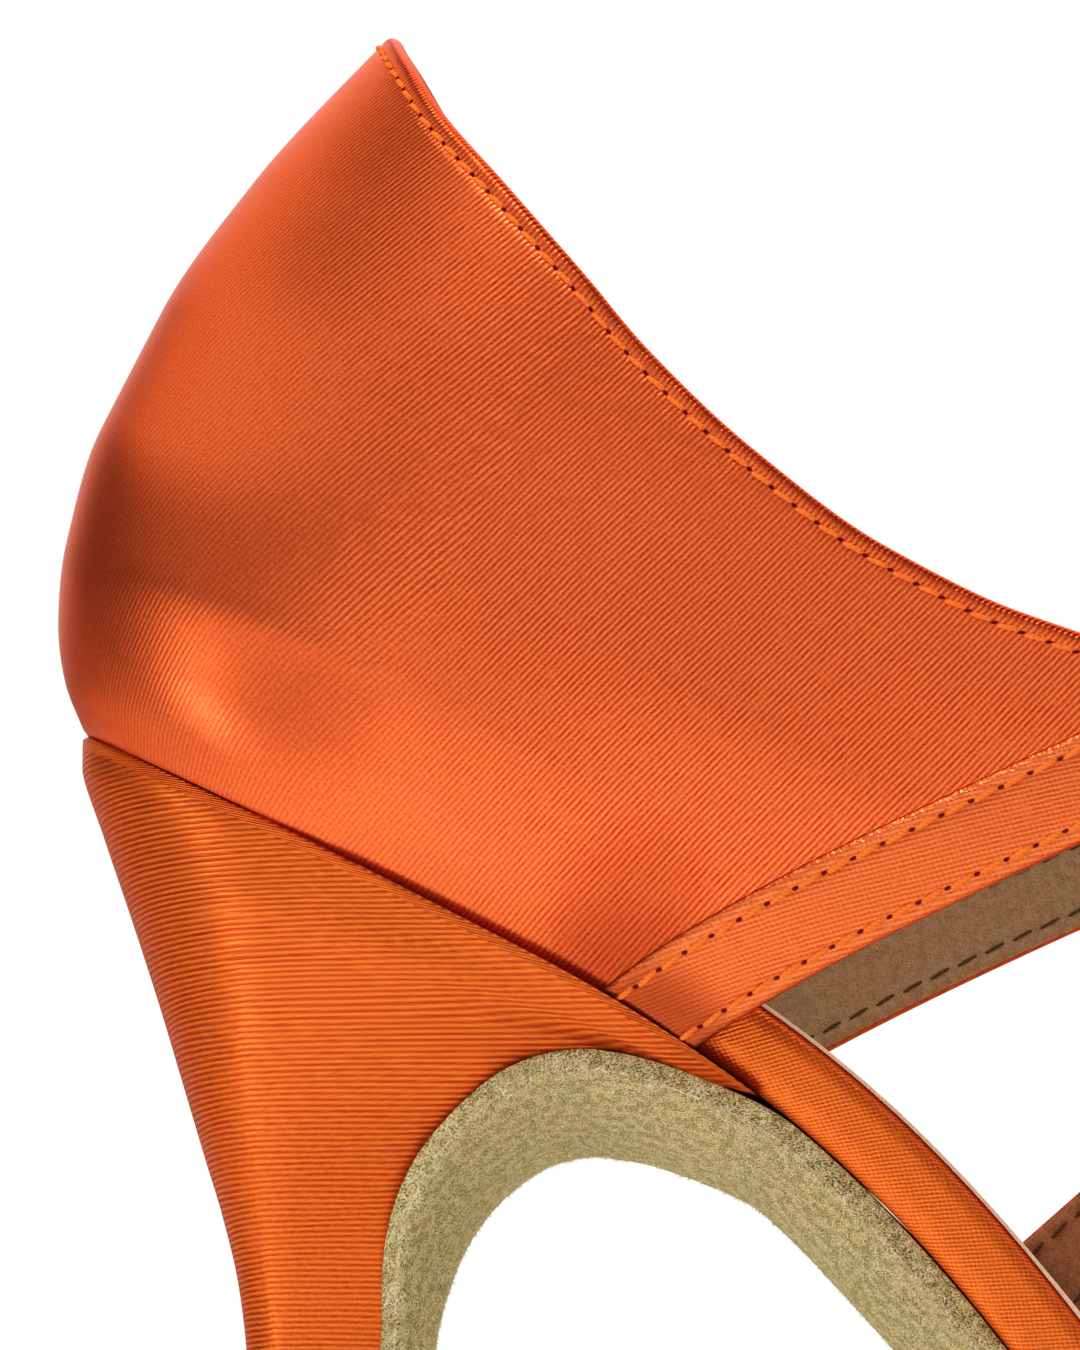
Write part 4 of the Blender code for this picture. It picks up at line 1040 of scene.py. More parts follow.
girth = run_along(closed, 1)
ring_skin("heel_cover", heel_rings, together(girth, closed[..., 2]), [HEEL_SATIN],
          seam=together(girth, wrapped(below)), replaces=("heel",))

# %% [markdown]
# ## Heel tip
# A rubber top piece is nailed under the heel. It follows the heel's last section, stands out by a
# hair and is rounded at both faces. The same section at a few levels makes it.

# %% Heel tip
TIP_LEVELS = (                  # height, how far out
    (5.9, -0.1), (5.7, 0.08), (5.4, 0.15), (0.5, 0.1), (0.2, 0.0), (0.0, -0.25))

height, s, half, half_front = HEEL_SECTIONS[-1]
back_x = float(read(HEEL_BACK, height))
front_x = float(on_sole(s, 0, -SOLE[0][2] - SOLE[0][3])[0])
tip_rings = np.array([d_section((back_x - g, z), (front_x + g, z), half + g, half_front + g)
                      for z, g in TIP_LEVELS])
ring_skin("heel_tip_piece", tip_rings, ring_cloth(tip_rings), [RUBBER], replaces=("heel_tip",),
          slot="rubber", sharp=50)

# %% [markdown]
# ## Closed back
# The back of the upper is satin and lining sewn as one wall, turned over at the top and stitched
# 1.5 mm inside the edge. It stands on the seat, leans out over it and comes in to the ankle. It
# could be cut from a full surface with Booleans, but a grid that follows the top line and the
# strap's edge keeps the fold, the ribs and the stitches parallel to those edges.

# %% Border of the counter
TOPLINE = (                     # distance round the wall, height above the seat
    (0, 59.8), (5, 59.1), (12, 57.0), (20.5, 53.3), (27, 50.7), (34.7, 47.3), (43.3, 43.4),
    (53.7, 40.1), (65.5, 37.9), (73.5, 37.6), (81, 38.2), (92, 39.6))
FOOT_DROP = 0.28                # its foot reaches down to the seat's rim
FRONT_UNDER = 0.3               # and its front edge a little under the strap's edge


def counter_side(side, t, v):
    """Grid of (around, up) from the seat's widest place to the strap's edge, for one side."""
    edge = FRONT_UNDER - STRAP_WIDTH / 2
    start = strap_start(edge) - FOOT_DROP
    reach = np.arange(start, 80, 0.25)
    forward, up = strap_line(reach, edge, side)
    finish = float(reach[np.argmax(up > read(TOPLINE, forward - SEAT_CENTRE + BACK_RUN))])
    f_front, u_front = strap_line(start + (finish - start) * v[None], edge, side)
    a_front = f_front - SEAT_CENTRE + BACK_RUN
    t, v = t[:, None], v[None]
    a_low = BACK_RUN + (a_front[0, 0] - BACK_RUN) * t
    a_top = BACK_RUN + (a_front[0, -1] - BACK_RUN) * t
    u_low = bed_below(a_low - BACK_RUN + SEAT_CENTRE) - FOOT_DROP
    u_top = read(TOPLINE, a_top)

    def filled(low, top, front):
        """Place between four borders: low and top, plus what the front adds to their corners."""
        return t * (front - (1 - v) * front[0, 0] - v * front[0, -1]) + (1 - v) * low + v * top
    return side * filled(a_low, a_top, a_front), filled(u_low, u_top, u_front)


STEPS_SIDE, STEPS_BACK, CLOSER_IN_FRONT = 110, 130, 0.06


def counter_places(v):
    """Places (around, up) over the whole wall, from its outer front edge round the back."""
    t = np.linspace(0, 1, STEPS_SIDE)
    t = t + CLOSER_IN_FRONT * np.sin(np.pi * t) * t
    out_a, out_u = counter_side(OUTER, t, v)
    in_a, in_u = counter_side(INNER, t, v)
    back_a = np.linspace(-BACK_RUN, BACK_RUN, STEPS_BACK)[1:-1, None] + 0 * v[None]
    back_u = -FOOT_DROP + (read(TOPLINE, np.abs(back_a)) + FOOT_DROP) * v[None]
    return np.concatenate((out_a[::-1], back_a, in_a)), np.concatenate((out_u[::-1], back_u, in_u))


# %% [markdown]
# ## How far each place is from the edges
# A fold, a row of stitches and a glued foot all follow an edge. Each needs to know how far inside
# that edge a place is, measured on the cloth. The sums of the steps up and round the wall give
# it, and the slant of the top line is taken off, so the distance is square to the edge.

# %% Wall of the counter, and how far each place is from its edges
TOP_FOLD, LOW_FOLD = 0.75, 0.22
wall_v = 1 - (1 - np.linspace(0, 1, 120)) ** 1.6    # finer steps at the top, for the fold
wall_a, wall_u = counter_places(wall_v)
wall = on_wall(wall_a, wall_u)
from_low = run_along(wall, 1)
ahead = unit(np.gradient(wall[:, -1], axis=0))
down = unit(wall[:, -2] - wall[:, -1])
from_top = (from_low[:, -1:] - from_low) * np.linalg.norm(np.cross(ahead, down), axis=1)[:, None]
pace = run_along(wall)
from_side = np.minimum(pace, pace[-1:] - pace)
open_up = fold_share(from_top, TOP_FOLD)
pressed = fold_share(np.minimum(from_low, from_side), LOW_FOLD)
print("wall", wall.shape, "height", from_low[:, -1].max().round(1))

# %% [markdown]
# ## Stitches
# A lockstitch comes up at one needle hole and goes down at the next, so what shows is a row of
# short, slanted threads with plump middles. Each is a small tube whose radius swells with the
# twist. They are real meshes, because a raised thread throws a shadow that a bump can't. One
# joined mesh holds a whole row, since there are several hundred of them.


# %% A line on a sheet, and rows of stitches along such lines
def line_at(points, key, at):
    """Line over a sheet's rows where key, which grows from column to column, passes a value."""
    key = np.broadcast_to(key, points.shape[:2])
    return np.array([[np.interp(at, k, row[:, c]) for c in range(3)]
                     for row, k in zip(points, key)])


HOLE, SLANT, SUNK, LIFT = 0.42, 0.10, -0.16, 0.24   # of a stitch, in millimetres
TWIST, TWIST_LENGTH = 0.14, 0.84


def stitches(name, rows, pitch, finish, thick=0.19):
    """Threads that come up at one needle hole and go down at the next. rows: line, outward."""
    points, places = [], []
    t = np.linspace(0, 1, 9)
    plump = np.sin(np.pi * t) ** 0.5
    turn = np.radians(np.linspace(0, 360, 9))[None, :, None]
    for line, outward in rows:
        run = run_along(line)
        for first in np.arange(0, run[-1] - pitch, pitch):
            s = first + HOLE / 2 + (pitch - HOLE) * t
            place, out = (together(*[np.interp(s, run, axis) for axis in each.T])
                          for each in (line, outward))
            beside = np.cross(out, unit(np.gradient(place, axis=0)))
            middle = (place + out * (SUNK + LIFT * plump)[:, None]
                      + beside * (SLANT * (t - 0.5) * 2)[:, None])
            size = thick * (0.7 + 0.3 * plump)[:, None, None]
            twist = 1 + TWIST * np.cos(2 * turn + 2 * np.pi * s[:, None, None] / TWIST_LENGTH)
            points.append(middle[:, None] + size * twist * (np.cos(turn) * out[:, None]
                                                            + np.sin(turn) * beside[:, None]))
            places.append(together(s[:, None], turn[0, :, 0] * thick))
    points, places = np.array(points), np.array(places)
    index = np.arange(points[..., 0].size).reshape(points.shape[:3])
    faces = np.concatenate([quads(wrapped(one[:, :-1])) for one in index])
    flat = places.reshape(-1, 2)[np.concatenate([quads(one) for one in index])]
    used, faces = np.unique(faces, return_inverse=True)
    make_piece(name, points.reshape(-1, 3)[used], faces.reshape(-1, 4), [finish], flat)


# %% [markdown]
# ## Counter with its lining
# The wall's outer side is satin and its inner side lining. The satin turns over the top and ends
# 1.2 mm down inside. The thread pulls the cloth down into a shallow groove along its row, which
# makes the small pillow at the edge. The lining shows the same row in dark bobbin thread.

# %% Counter
TURNED_IN = 1.2
DENT, DENT_WIDE = 0.06, 0.35
FOOT_PRESSED = 0.3              # how much thinner the wall is where it is glued to the seat

wall_out = normals_of(wall[::-1])[::-1]
dent = DENT * np.exp(-((from_top - TOP_IN) / DENT_WIDE) ** 2)
wall_high = -WALL / 2 * (1 - open_up) - (dent + FOOT_PRESSED * (1 - pressed)) * open_up
wall_low = -WALL / 2 - WALL / 2 * open_up * pressed
top_line, inner_line = (line_at(wall + wall_out * side[..., None], -from_top, -TOP_IN)
                        for side in (wall_high, wall_low))
top_outward = line_at(wall_out, -from_top, -TOP_IN)
lined = np.where((from_top < TURNED_IN)[:-1, :-1], 0, 1)
soft_sheet("counter_cover", wall[::-1], wall_high[::-1], wall_low[::-1],
           together(np.abs(wall_a), wall_u)[::-1], [COUNTER_SATIN, LINING], lined[::-1],
           seam=together(run_along(top_line)[:, None], from_top)[::-1], replaces=("counter",))
stitches("counter_stitches", [(top_line, top_outward)], TOP_PITCH, THREAD)
stitches("counter_lining_stitches", [(inner_line, -top_outward)], TOP_PITCH, DARK_THREAD)

# %% [markdown]
# ## The straps' profile
# Each strap is satin turned round a tape, with a suede lining under it and a row of stitches near
# both edges. Its cross section is the same all along: a fold, a groove where the stitches pull,
# and a pillow between. The two heights below are that section, and the ends are rounded too.

# %% Profile of a strap
EDGE_FOLD = 0.8
GROOVE_DEEP, GROOVE_WIDE = 0.14, 0.3
LINING_GROOVE = 0.4             # the lining's groove, as a share of the satin's
SATIN_OVER = 0.15               # the satin turns this far under the strap
END_ROWS = 4                    # rows over which an end rounds off

ACROSS = crowded(-STRAP_WIDTH / 2, STRAP_WIDTH / 2, 41, 0.7)
INSIDE = STRAP_WIDTH / 2 - np.abs(ACROSS)
OPENED = fold_share(INSIDE, EDGE_FOLD)
GROOVE = GROOVE_DEEP * np.exp(-((INSIDE - ROW_IN) / GROOVE_WIDE) ** 2)
STRAP_LINED = np.where(INSIDE > SATIN_OVER, 1, 0)[:-1]


def strap_sides(count, top, bottom):
    """Heights of a strap's two sides over its middle sheet."""
    middle, half = (top + bottom) / 2, (top - bottom) / 2
    order = np.arange(count)
    level = fold_share(np.minimum(order, order[::-1]), END_ROWS)[:, None]
    high = (half - GROOVE) * OPENED * level
    low = (LINING_GROOVE * GROOVE - half) * OPENED * level
    return middle + high, middle + low


print("strap profile", len(ACROSS), "places across")

# %% [markdown]
# ## A strap with its stitches
# A sewing machine runs along each edge once and pulls both threads into the cloth. So the rows
# are laid on the finished surface and not on the flat sheet: light thread on the satin, and dark
# bobbin thread, drawn thinner, on the lining. The same rows give the seam's coordinate, so the
# needle holes come out right at the ends of each stitch.

# %% A strap with its stitches
STRAP_THREAD, LINING_STITCH = 0.23, 0.13        # thickness of the thread outside and inside


def make_strap(name, grid, high, low, finishes, gone=None, **facts):
    """A strap's cover with its lining, and rows of stitches on both of its sides."""
    cloth = together(run_along(grid[:, len(ACROSS) // 2])[:, None], ACROSS)
    out = normals_of(grid[:, ::-1])[:, ::-1]
    width = np.broadcast_to(ACROSS, grid.shape[:2])
    seams = []
    for label, side, way, finish, thick in (
            ("_stitches", high, 1, THREAD, STRAP_THREAD),
            ("_lining_stitches", low, -1, DARK_THREAD, LINING_STITCH)):
        rows = []
        for a in (ROW_IN - STRAP_WIDTH / 2, STRAP_WIDTH / 2 - ROW_IN):
            line = line_at(grid + out * side[..., None], width, a)
            rows.append((line, line_at(way * out, width, a)))
            seams.append(run_along(line)[:, None])
        stitches(name + label, rows, PITCH, finish, thick)
    seam = together(np.where(ACROSS < 0, seams[0], seams[1]), INSIDE)
    soft_sheet(name + "_cover", grid[:, ::-1], high[:, ::-1], low[:, ::-1], cloth[:, ::-1],
               finishes, STRAP_LINED[None, ::-1], seam=seam[:, ::-1],
               gone=None if gone is None else gone[:, ::-1], **facts)


# %% [markdown]
# ## Straps over the foot
# Three straps cross the foot: one over its middle and a crossing pair over the ball. Each leaves
# the insole's edge square to it and arches over in a rounded square. Its rows turn from the
# edge's own direction to the arch's, so the strap lies flat on the board at both ends and twists
# as cloth does on the way up. The two of the pair differ in height, and one passes over the other.

# %% Arches over the foot
MIDFOOT = (102, 83.2, 42, 70, 2.3, 0)   # outer root, inner root, lean, height, squareness, tilt
VAMP_UNDER = (188, 160, 88, 37, 2.4, 18)
VAMP_OVER = (158, 190, 88, 38.6, 2.4, 18)
EDGE_CLEAR = GAP + 0.1


def edge_place(s, side, out):
    """Point on the insole's edge at distance s, moved out square to the edge."""
    step = 0.5
    y = centre_at(s) + side * half_at(s)
    lean = (centre_at(s + step) + side * half_at(s + step) - y) / step * side
    return on_bed(s - out * lean / math.hypot(1, lean), y + side * out / math.hypot(1, lean), 0)


def arch_grid(row, count):
    """Middle sheet of a strap that goes over the foot from edge to edge."""
    s_outer, s_inner, lean, high, power, tilt = row
    out = EDGE_CLEAR + (STRAP_OUT + STRAP_IN) / 2
    a, b = edge_place(s_outer, OUTER, out), edge_place(s_inner, INNER, out)
    half = np.linalg.norm(b - a) / 2
    side = (b - a) / 2 / half
    up = np.array((math.cos(math.radians(lean)), 0, math.sin(math.radians(lean))))
    up = unit(up - side * (up @ side))
    square = np.cross(side, up)
    turn = np.radians(np.linspace(-90, 90, count))
    x = np.sign(turn) * half * np.abs(np.sin(turn)) ** (2 / power)
    z = high * np.abs(np.cos(turn)) ** (2 / power)
    line = (a + b) / 2 + x[:, None] * side + z[:, None] * up
    share = np.clip(z / high, 0, 1)
    rows = []
    for p, f, t in zip(line, share * share * (3 - 2 * share), turn):
        edge, s = (OUTER, s_outer) if t < 0 else (INNER, s_inner)
        along = unit(edge_place(s - 1, edge, out) - edge_place(s + 1, edge, out))
        aim = square * np.sign(square @ along)
        tip = math.radians(tilt) * f
        band = unit((1 - f) * along + f * (aim * math.cos(tip) + up * math.sin(tip)))
        rows.append(p - ACROSS[:, None] * band)
    return np.array(rows)


for name, row, solid in (("midfoot_strap", MIDFOOT, "midfoot_strap"),
                         ("vamp_strap_under", VAMP_UNDER, "vamp_straps"),
                         ("vamp_strap_over", VAMP_OVER, "vamp_straps")):
    grid = arch_grid(row, 361)
    half = (STRAP_OUT + STRAP_IN) / 2
    make_strap(name, grid, *strap_sides(len(grid), half, -half), [STRAP_SATIN, LINING_RED],
               replaces=(solid,))

# %% [markdown]
# ## Short buckle strap
# On the outer side a short strap rises from the arch and ends in a fold round the buckle's bar.
# Its foot is glued under the insole, which cuts it at a slant, so each of its columns starts
# where it meets the insole's underside. A Boolean cut would leave ribs and stitches cut as well.

# %% Short strap
TUCK = 14.0                     # distance over which the slant of the foot fades out
FOOT_UNDER = 0.2
BUCKLE_AT, BUCKLE_LONG, BUCKLE_ROUND = 58.0, 8.5, 1.4
WIRE, FOLD, PRONG = 0.7, 0.6, 0.5


def leg_rows(last, count):
    """Distances of a strap's rows: each column starts at the insole's underside."""
    d = np.linspace(0, last, count)[:, None]
    start = np.array([strap_start(a) - FOOT_UNDER for a in ACROSS])[None]
    return d + start * np.clip(1 - d / TUCK, 0, 1)


short_rows = leg_rows(BUCKLE_AT - WIRE - GAP - FOLD / 2, 240)
short_grid = instep_place(short_rows, ACROSS[None], OUTER)
make_strap("buckle_strap", short_grid, *strap_sides(len(short_grid), STRAP_OUT, -STRAP_IN),
           [STRAP_SATIN, LINING], replaces=("buckle_strap",))

# %% [markdown]
# ## Instep strap
# The long strap rises on the inner side, turns over the instep, passes through the buckle and
# ends in a rounded tail that lies on the short strap. It stands off its own line where it passes
# the buckle's fold. A slot lets the prong through: its cells are left out of the sheet, and a
# wall joins the strap's two sides round it.

# %% Instep strap
TAIL_END = 44.0
TAIL_LONG = 2.4
TAIL_ROUND = ((0, 0.4), (0.7, 0.75), (TAIL_LONG, 1.0))      # distance from the tail, width's share
BAR_DEPTH = (STRAP_OUT - STRAP_IN) / 2
SLOT_AHEAD, SLOT_LONG, SLOT_WIDE = 1.9, 5.4, 1.9            # the opening that the prong passes


def cap_rows(count):
    """Distances over the instep, closer together where the strap turns."""
    turn = np.radians(np.linspace(0, 89, count)[1:])
    return LEG + (INSTEP - LEG) * np.sin(turn) ** (2 / INSTEP_POWER)


def lift_at(d):
    """How far the instep strap stands off its own line where it passes the buckle's fold."""
    on_short = STRAP_OUT + STRAP_IN + GAP
    over_bar = BAR_DEPTH + WIRE + GAP + FOLD + GAP + STRAP_IN + 0.1
    knots = (BUCKLE_AT - 6, BUCKLE_AT - 1.6, BUCKLE_AT + 1.6, BUCKLE_AT + BUCKLE_LONG - 1.5)
    return smooth(d, knots, (on_short, over_bar, over_bar, 0.0))


tail = TAIL_END + np.linspace(0, TAIL_LONG, 14)
through = np.linspace(TAIL_END + 2.7, BUCKLE_AT + 10, 90)
cap = cap_rows(170)
outer_rows = np.concatenate((tail, through, cap[cap > BUCKLE_AT + 10.3]))[:, None]
inner_rows = np.concatenate((leg_rows(LEG, 200), cap[:, None] + 0 * ACROSS))
taper = smooth(outer_rows, TAIL_END + np.array(column(TAIL_ROUND, 0)), column(TAIL_ROUND, 1))
long_grid = np.concatenate((instep_place(outer_rows, ACROSS * taper, OUTER),
                            instep_place(inner_rows, ACROSS[None], INNER)[::-1]))
lift = np.concatenate((lift_at(outer_rows), np.zeros((len(inner_rows), 1))))
rows_at = (outer_rows[1:] + outer_rows[:-1]) / 2
from_middle = np.clip(np.abs(rows_at - BUCKLE_AT - SLOT_AHEAD) - (SLOT_LONG - SLOT_WIDE) / 2, 0, None)
slot = np.zeros((len(long_grid) - 1, len(ACROSS) - 1), bool)
slot[:len(rows_at)] = np.hypot(from_middle, (ACROSS[1:] + ACROSS[:-1]) / 2) < SLOT_WIDE / 2
long_high, long_low = strap_sides(len(long_grid), STRAP_OUT, -STRAP_IN)
make_strap("instep_strap", long_grid, long_high + lift, long_low + lift, [STRAP_SATIN, LINING],
           gone=slot, replaces=("instep_strap",))
print("instep strap", run_along(long_grid[:, len(ACROSS) // 2])[-1].round(1), "mm long")

# %% [markdown]
# ## The buckle's place
# The buckle lies on the strap, so its pieces are built on the strap's own axes at their distance:
# up the strap, across it and outward. The frame's heel bar lies in the short strap's fold and its
# front bar over the long strap, and the line between the two bars tilts the frame.


# %% Axes of the strap and the buckle
def strap_frame(d):
    """Place on the outer side, direction up the strap, across it and outward."""
    place, after, beside = (instep_place(np.array(q), np.array(a), OUTER)
                            for q, a in ((d, 0.0), (d + 0.5, 0.0), (d, 0.5)))
    along = unit(after - place)
    aside = beside - place
    aside = unit(aside - along * (along @ aside))
    out = np.cross(along, aside)
    return place, along, aside, out * np.sign(-out[1])


def round_loop(half_long, half_wide, soft, steps=12, straight=10):
    """Closed rounded rectangle as (along, across), with its outward ways."""
    points, ways = [], []
    for quarter in range(4):
        angles = np.radians(np.linspace(0, 90, steps)) + quarter * math.pi / 2
        signs = np.sign((math.cos(angles.mean()), math.sin(angles.mean())))
        way = together(np.cos(angles), np.sin(angles))
        points.append(signs * (half_long - soft, half_wide - soft) + soft * way)
        ways.append(way)
    whole, out = [], []
    for k in range(4):
        t = np.linspace(0, 1, straight)[1:-1, None]
        after = points[(k + 1) % 4][0]
        whole += [points[k], points[k][-1] + (after - points[k][-1]) * t]
        out += [ways[k], np.repeat(ways[k][-1:], straight - 2, 0)]
    return np.concatenate(whole), np.concatenate(out)


BAR_CLEAR = 0.15                # between the front bar and the strap, beside the usual gap
bar_place, _, bar_across, bar_out = strap_frame(BUCKLE_AT)
front_place, _, _, front_out = strap_frame(BUCKLE_AT + BUCKLE_LONG)
heel_bar = bar_place + bar_out * BAR_DEPTH
front_bar = front_place + front_out * (STRAP_OUT + GAP + WIRE + BAR_CLEAR)
frame_long = np.linalg.norm(front_bar - heel_bar)
frame_along = (front_bar - heel_bar) / frame_long
frame_out = np.cross(frame_along, bar_across)
frame_out *= np.sign(frame_out @ bar_out)
print("buckle", frame_long.round(2), "mm from bar to bar")

# %% [markdown]
# ## Buckle frame
# The frame is polished wire bent into a rounded rectangle and soldered. The wire is drawn nearly
# round, with slightly flat faces. It is a hoop of small sections round the rectangle, because a
# curve with a round bevel could not have those flats.


# %% Buckle frame
def squared(wave, power):
    """Wave with its tops flattened, for a section between a circle and a square."""
    return np.sign(wave) * np.abs(wave) ** power


WIRE_FLAT = 0.85                # below 1 the wire's four faces flatten
WIRE_SHARE = 0.99               # the wire's radius, as a share of its solid's
FRAME_CLEAR = GAP + 0.2         # beside the strap
loop, loop_out = round_loop(frame_long / 2, STRAP_WIDTH / 2 + FRAME_CLEAR + WIRE, BUCKLE_ROUND)
axes = np.stack((frame_along, bar_across))
turn = np.radians(np.linspace(0, 360, 25))[:-1]
wire_out, wire_up = (WIRE * WIRE_SHARE * squared(wave, WIRE_FLAT)[:, None]
                     for wave in (np.cos(turn), np.sin(turn)))
wire_rings = (((heel_bar + front_bar) / 2 + loop @ axes)[:, None]
              + wire_out * (loop_out @ axes)[:, None] + wire_up * frame_out)
hoop_skin("buckle_frame", wire_rings, [METAL], replaces=("buckle",), slot="metal", sharp=80)

# %% [markdown]
# ## Prong
# The prong is a pin hooked round the heel bar. It rises over the strap, runs through the slot and
# rests on the front bar with its slim tip. Its side line is the hook's arc and five points, and
# round sections along that line make it.

# %% Prong
PRONG_LINE = (                  # along the frame, height over the hook
    (1.3, 0.5), (2.8, 0.9), (4.4, 0.9), (BUCKLE_LONG, 0.0), (BUCKLE_LONG + 1.2, -0.15))
PRONG_SLIM = (0, 0.4, 1), (1.0, 1.0, 0.72)      # share of its length, share of its thickness
PRONG_END, PRONG_TIP = 0.5, 0.08                # length of its round ends, share left at the tip

hook = WIRE + GAP + PRONG
curl = np.radians(np.linspace(-40, -270, 40))
knots = np.concatenate((hook * together(np.cos(curl), np.sin(curl)),
                        np.array(PRONG_LINE) + (0, hook)))
knot_run = run_along(knots)
prong_run = np.linspace(0, knot_run[-1], 120)
side_line = together(*[smooth(prong_run, knot_run, axis) for axis in knots.T])
prong_middle = heel_bar + side_line @ np.stack((frame_along, frame_out))
lift_way = np.cross(unit(np.gradient(prong_middle, axis=0)), bar_across)
ends = fold_share(np.minimum(prong_run, prong_run[-1] - prong_run), PRONG_END)
slim = smooth(prong_run / prong_run[-1], *PRONG_SLIM) * np.maximum(ends, PRONG_TIP)
prong_rings = prong_middle[:, None] + PRONG * slim[:, None, None] * (
    np.cos(turn)[:, None] * bar_across + np.sin(turn)[:, None] * lift_way[:, None])
ring_skin("prong", prong_rings, ring_cloth(prong_rings), [METAL], replaces=("buckle_prong",),
          slot="metal", sharp=80)

# %% [markdown]
# ## Fold round the bar
# The short strap's satin wraps the heel bar, on both sides of the prong. Two soft sheets curled
# round the bar make it, each open where the strap itself continues.

# %% Folds
FOLD_IN, PRONG_CLEAR = 0.3, 0.95        # from the strap's edge, and from its middle
fold_turn = np.radians(np.linspace(-172, 172, 60))[:, None]
radius = WIRE + GAP + FOLD / 2
curve = radius * (np.cos(fold_turn) * frame_along + np.sin(fold_turn) * frame_out)
for label, first, last in (("fold_low", FOLD_IN - STRAP_WIDTH / 2, -PRONG_CLEAR),
                           ("fold_high", PRONG_CLEAR, STRAP_WIDTH / 2 - FOLD_IN)):
    wide = crowded(first, last, 16, 0.8)[None]
    grid = heel_bar + curve[:, None] + wide[..., None] * bar_across
    border = np.minimum(wide - first, last - wide) + 0 * fold_turn
    half = FOLD / 2 * fold_share(border, FOLD_IN)
    soft_sheet(label, grid, half, -half, together(radius * fold_turn, wide), [STRAP_SATIN])

# %% [markdown]
# ## Keeper
# The keeper is a narrow satin band that holds the free end on the short strap. It is a hoop like
# the buckle's frame, with a wide, flat section whose outer edges are rounded.

# %% Keeper
KEEPER_AT, KEEPER_LONG, KEEPER_THICK, KEEPER_ROUND = 50.0, 3.6, 0.85, 0.6
KEEPER_CLEAR, TAIL_CLEAR = GAP + 0.1, 0.15      # round both straps, and more over the tail
place, along, aside, out = strap_frame(KEEPER_AT)
low = -STRAP_IN - KEEPER_CLEAR
high = 2 * STRAP_OUT + STRAP_IN + 2 * GAP + TAIL_CLEAR
loop, loop_out = round_loop((high - low) / 2, STRAP_WIDTH / 2 + KEEPER_CLEAR, KEEPER_ROUND, 10, 24)
axes = np.stack((out, aside))
turn = np.radians(np.linspace(0, 360, 33))[:-1, None]
span = KEEPER_LONG / 2 * squared(np.cos(turn), 0.35)
level = KEEPER_THICK / 2 * (1 + squared(np.sin(turn), 0.8))
middle = place + out * (high + low) / 2 + loop @ axes
keeper_rings = middle[:, None] + level * (loop_out @ axes)[:, None] + span * along
hoop_skin("keeper_band", keeper_rings, [STRAP_SATIN], replaces=("keeper",))

# %% [markdown]
# ## Floor
# The shoe stands on a plain pale floor. It is a large plain square, so that its border never
# comes into view, and it belongs to the stage and not to the shoe.

# %% Floor
FLOOR_HALF, FLOOR_GREY = 4, 0.9
paint = bpy.data.materials.new("floor_paint")
paint.use_nodes = True
shader = paint.node_tree.nodes["Principled BSDF"]
shader.inputs["Base Color"].default_value = (FLOOR_GREY, FLOOR_GREY, FLOOR_GREY, 1)
mesh = bpy.data.meshes.new("floor")
mesh.from_pydata([(x * FLOOR_HALF, y * FLOOR_HALF, 0) for x, y in ((-1, -1), (1, -1), (1, 1), (-1, 1))],
                 [], [(0, 1, 2, 3)])
mesh.materials.append(paint)
floor = bpy.data.objects.new("floor", mesh)
bpy.context.scene.collection.objects.link(floor)
print("floor", 2 * FLOOR_HALF, "m wide")

# %% [markdown]
# ## The room
# Satin shows whatever is round it, so its dark and bright zones come from where the room is dark
# and bright. The room is a lit band at the horizon, a dark one over it and a soft glow above,
# brighter on one side. The camera itself sees plain white. Panels on stands would do the same,
# but a world shader needs only the height and the way of each ray.

# %% Room light
LOW_BAND = ((-3, 1.3), (7, 2.0), (12, 0.02))    # degrees over the horizon, brightness
HIGH_BAND = ((13, 0.02), (22, 0.02), (28, 0.95), (39, 0.95), (49, 0.15))
BRIGHT_SIDE = (-0.5, -0.87)     # the way to the brighter part of the room


def band(height, stops):
    """Sum of smooth steps through brightness stops, over the sine of the height."""
    glow = height * 0.0 + stops[0][1]
    for (low, first), (high, last) in zip(stops, stops[1:]):
        if first != last:
            glow = glow + height.step(math.sin(math.radians(low)), math.sin(math.radians(high)),
                                      0.0, last - first)
    return glow


world = bpy.data.worlds.new("room")
world.use_nodes = True
tree = world.node_tree
shader = tree.nodes["Background"]
shader.inputs["Color"].default_value = (1, 1, 1, 1)
x, y, z = Socket(tree).node("TexCoord", {}).split()
facing = x * BRIGHT_SIDE[0] + y * BRIGHT_SIDE[1]
side = facing.step(0.35, 0.75, 0.1, 1.0) + facing.step(-0.9, -0.7, 0.8, 0.0)
behind = facing.step(-0.65, -0.2, 1.1, 0.0) * z.step(0.03, 0.2) * z.step(0.6, 0.75, 1.0, 0.0)
glow = band(z, LOW_BAND) * side + band(z, HIGH_BAND) + behind
seen = Socket(tree).node("LightPath", {})
tree.links.new((glow + seen * (1.0 - glow)).output, shader.inputs["Strength"])
bpy.context.scene.world = world
print("room with", len(tree.nodes), "nodes")

# %% [markdown]
# ## Lights
# One large soft light from above and behind gives the shoe its shape and a faint shadow. A small
# one lightens the floor beside the heel. A narrow, weak one low on the left gives the heel its
# bright upright band.


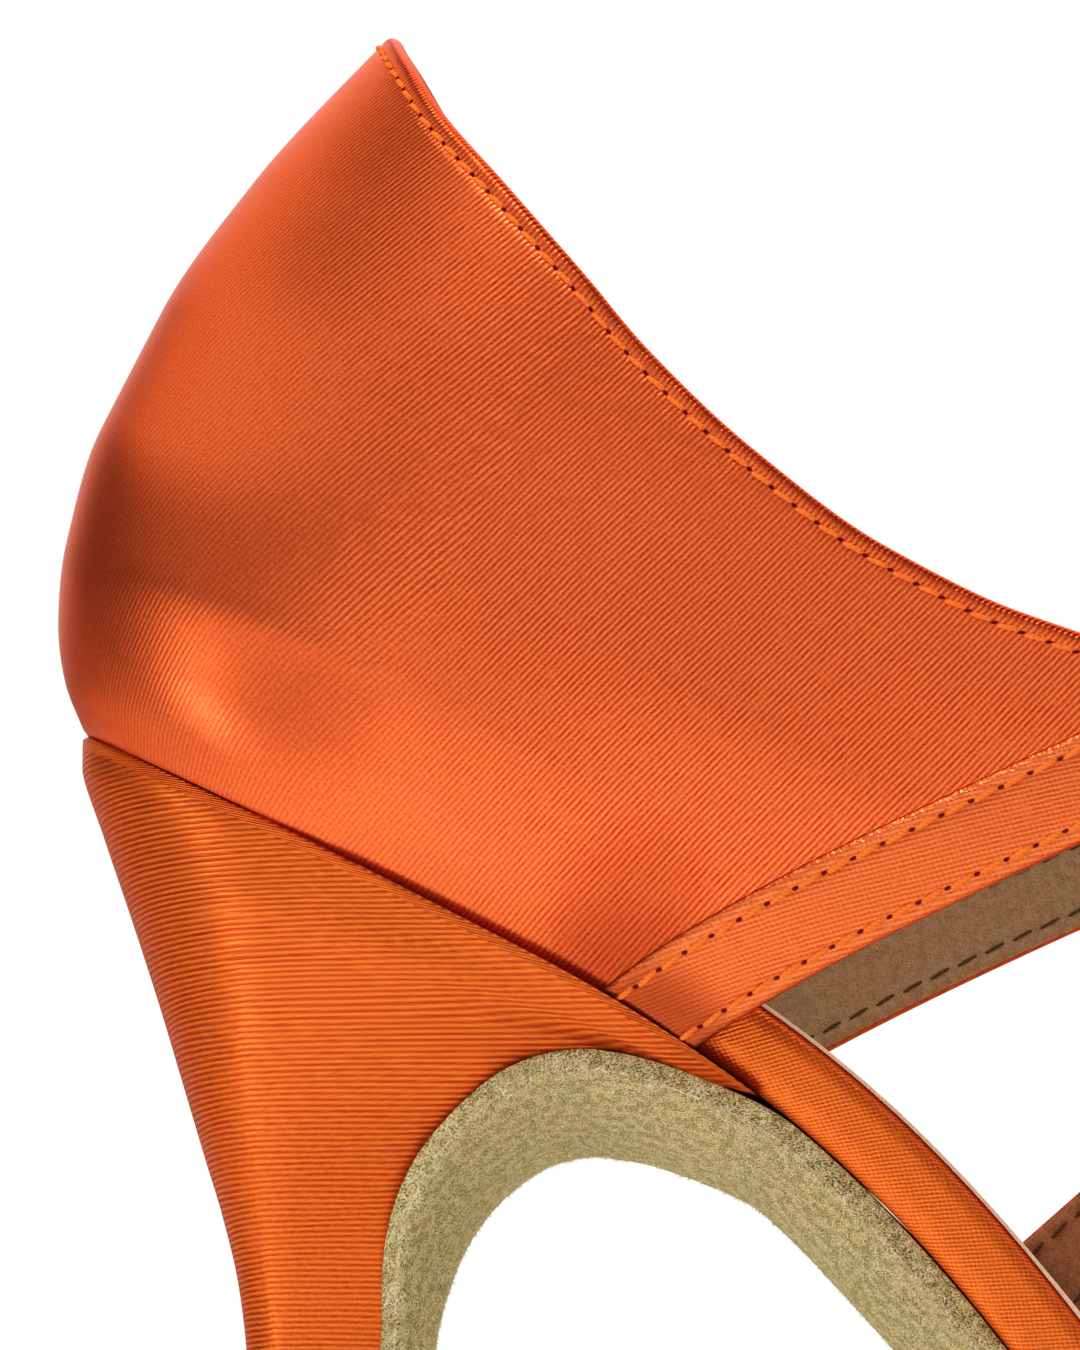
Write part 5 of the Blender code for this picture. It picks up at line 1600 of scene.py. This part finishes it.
# %% Lights
def soft_light(name, place, aim, size, power, spread=180):
    light = bpy.data.lights.new(name, "AREA")
    light.shape = "RECTANGLE"
    light.size, light.size_y = size
    light.energy = power
    light.spread = math.radians(spread)
    made = bpy.data.objects.new(name, light)
    made.location = place
    made.rotation_euler = (Vector(aim) - Vector(place)).to_track_quat("-Z", "Y").to_euler()
    made.visible_camera = False
    bpy.context.scene.collection.objects.link(made)
    print("light", name, power, "W")


soft_light("key", (0.1, 0.55, 1.15), (0, 0, 0), (1.0, 1.0), 9.3)
soft_light("floor_glow", (-0.16, -0.16, 0.5), (-0.16, -0.16, 0), (0.2, 0.2), 0.35, 70)
soft_light("left_strip", (-0.52, -0.15, 0.035), (-0.08, 0, 0.06), (0.10, 0.06), 0.13)

# %% [markdown]
# ## Camera
# The camera looks at the heel half from the outer side, almost level and from far enough away
# that near and far straps keep their sizes. A long lens then fills the frame.

# %% Camera
CAMERA = (0.000695, -0.620389, 0.008)
AIM = (-0.071115, -0.000389, 0.09467)
camera = bpy.data.objects.new("camera", bpy.data.cameras.new("camera"))
camera.data.lens = 218.45
camera.data.sensor_width = 36.0
camera.data.clip_start = 0.01
camera.location = CAMERA
camera.rotation_euler = (Vector(AIM) - Vector(CAMERA)).to_track_quat("-Z", "Y").to_euler()
bpy.context.scene.collection.objects.link(camera)
bpy.context.scene.camera = camera
print("camera", round((Vector(AIM) - Vector(CAMERA)).length, 3), "m from its aim")

# %% [markdown]
# ## Film curve
# Film darkens the deep tones a little and lifts the middle ones, which gives satin its punch. A
# curve on the view does that for the whole picture, and leaves the finishes as they are.

# %% Film curve
FILM = ((0.03, 0.020), (0.09, 0.075), (0.2, 0.195), (0.5, 0.525), (0.8, 0.83))
COMBINED = 3                    # the curve that acts on all three colours
view = bpy.context.scene.view_settings
view.view_transform = "Standard"
view.use_curve_mapping = True
curve = view.curve_mapping.curves[COMBINED]
for x, y in FILM:
    curve.points.new(x, y)
view.curve_mapping.update()
print("film curve", len(curve.points), "points")
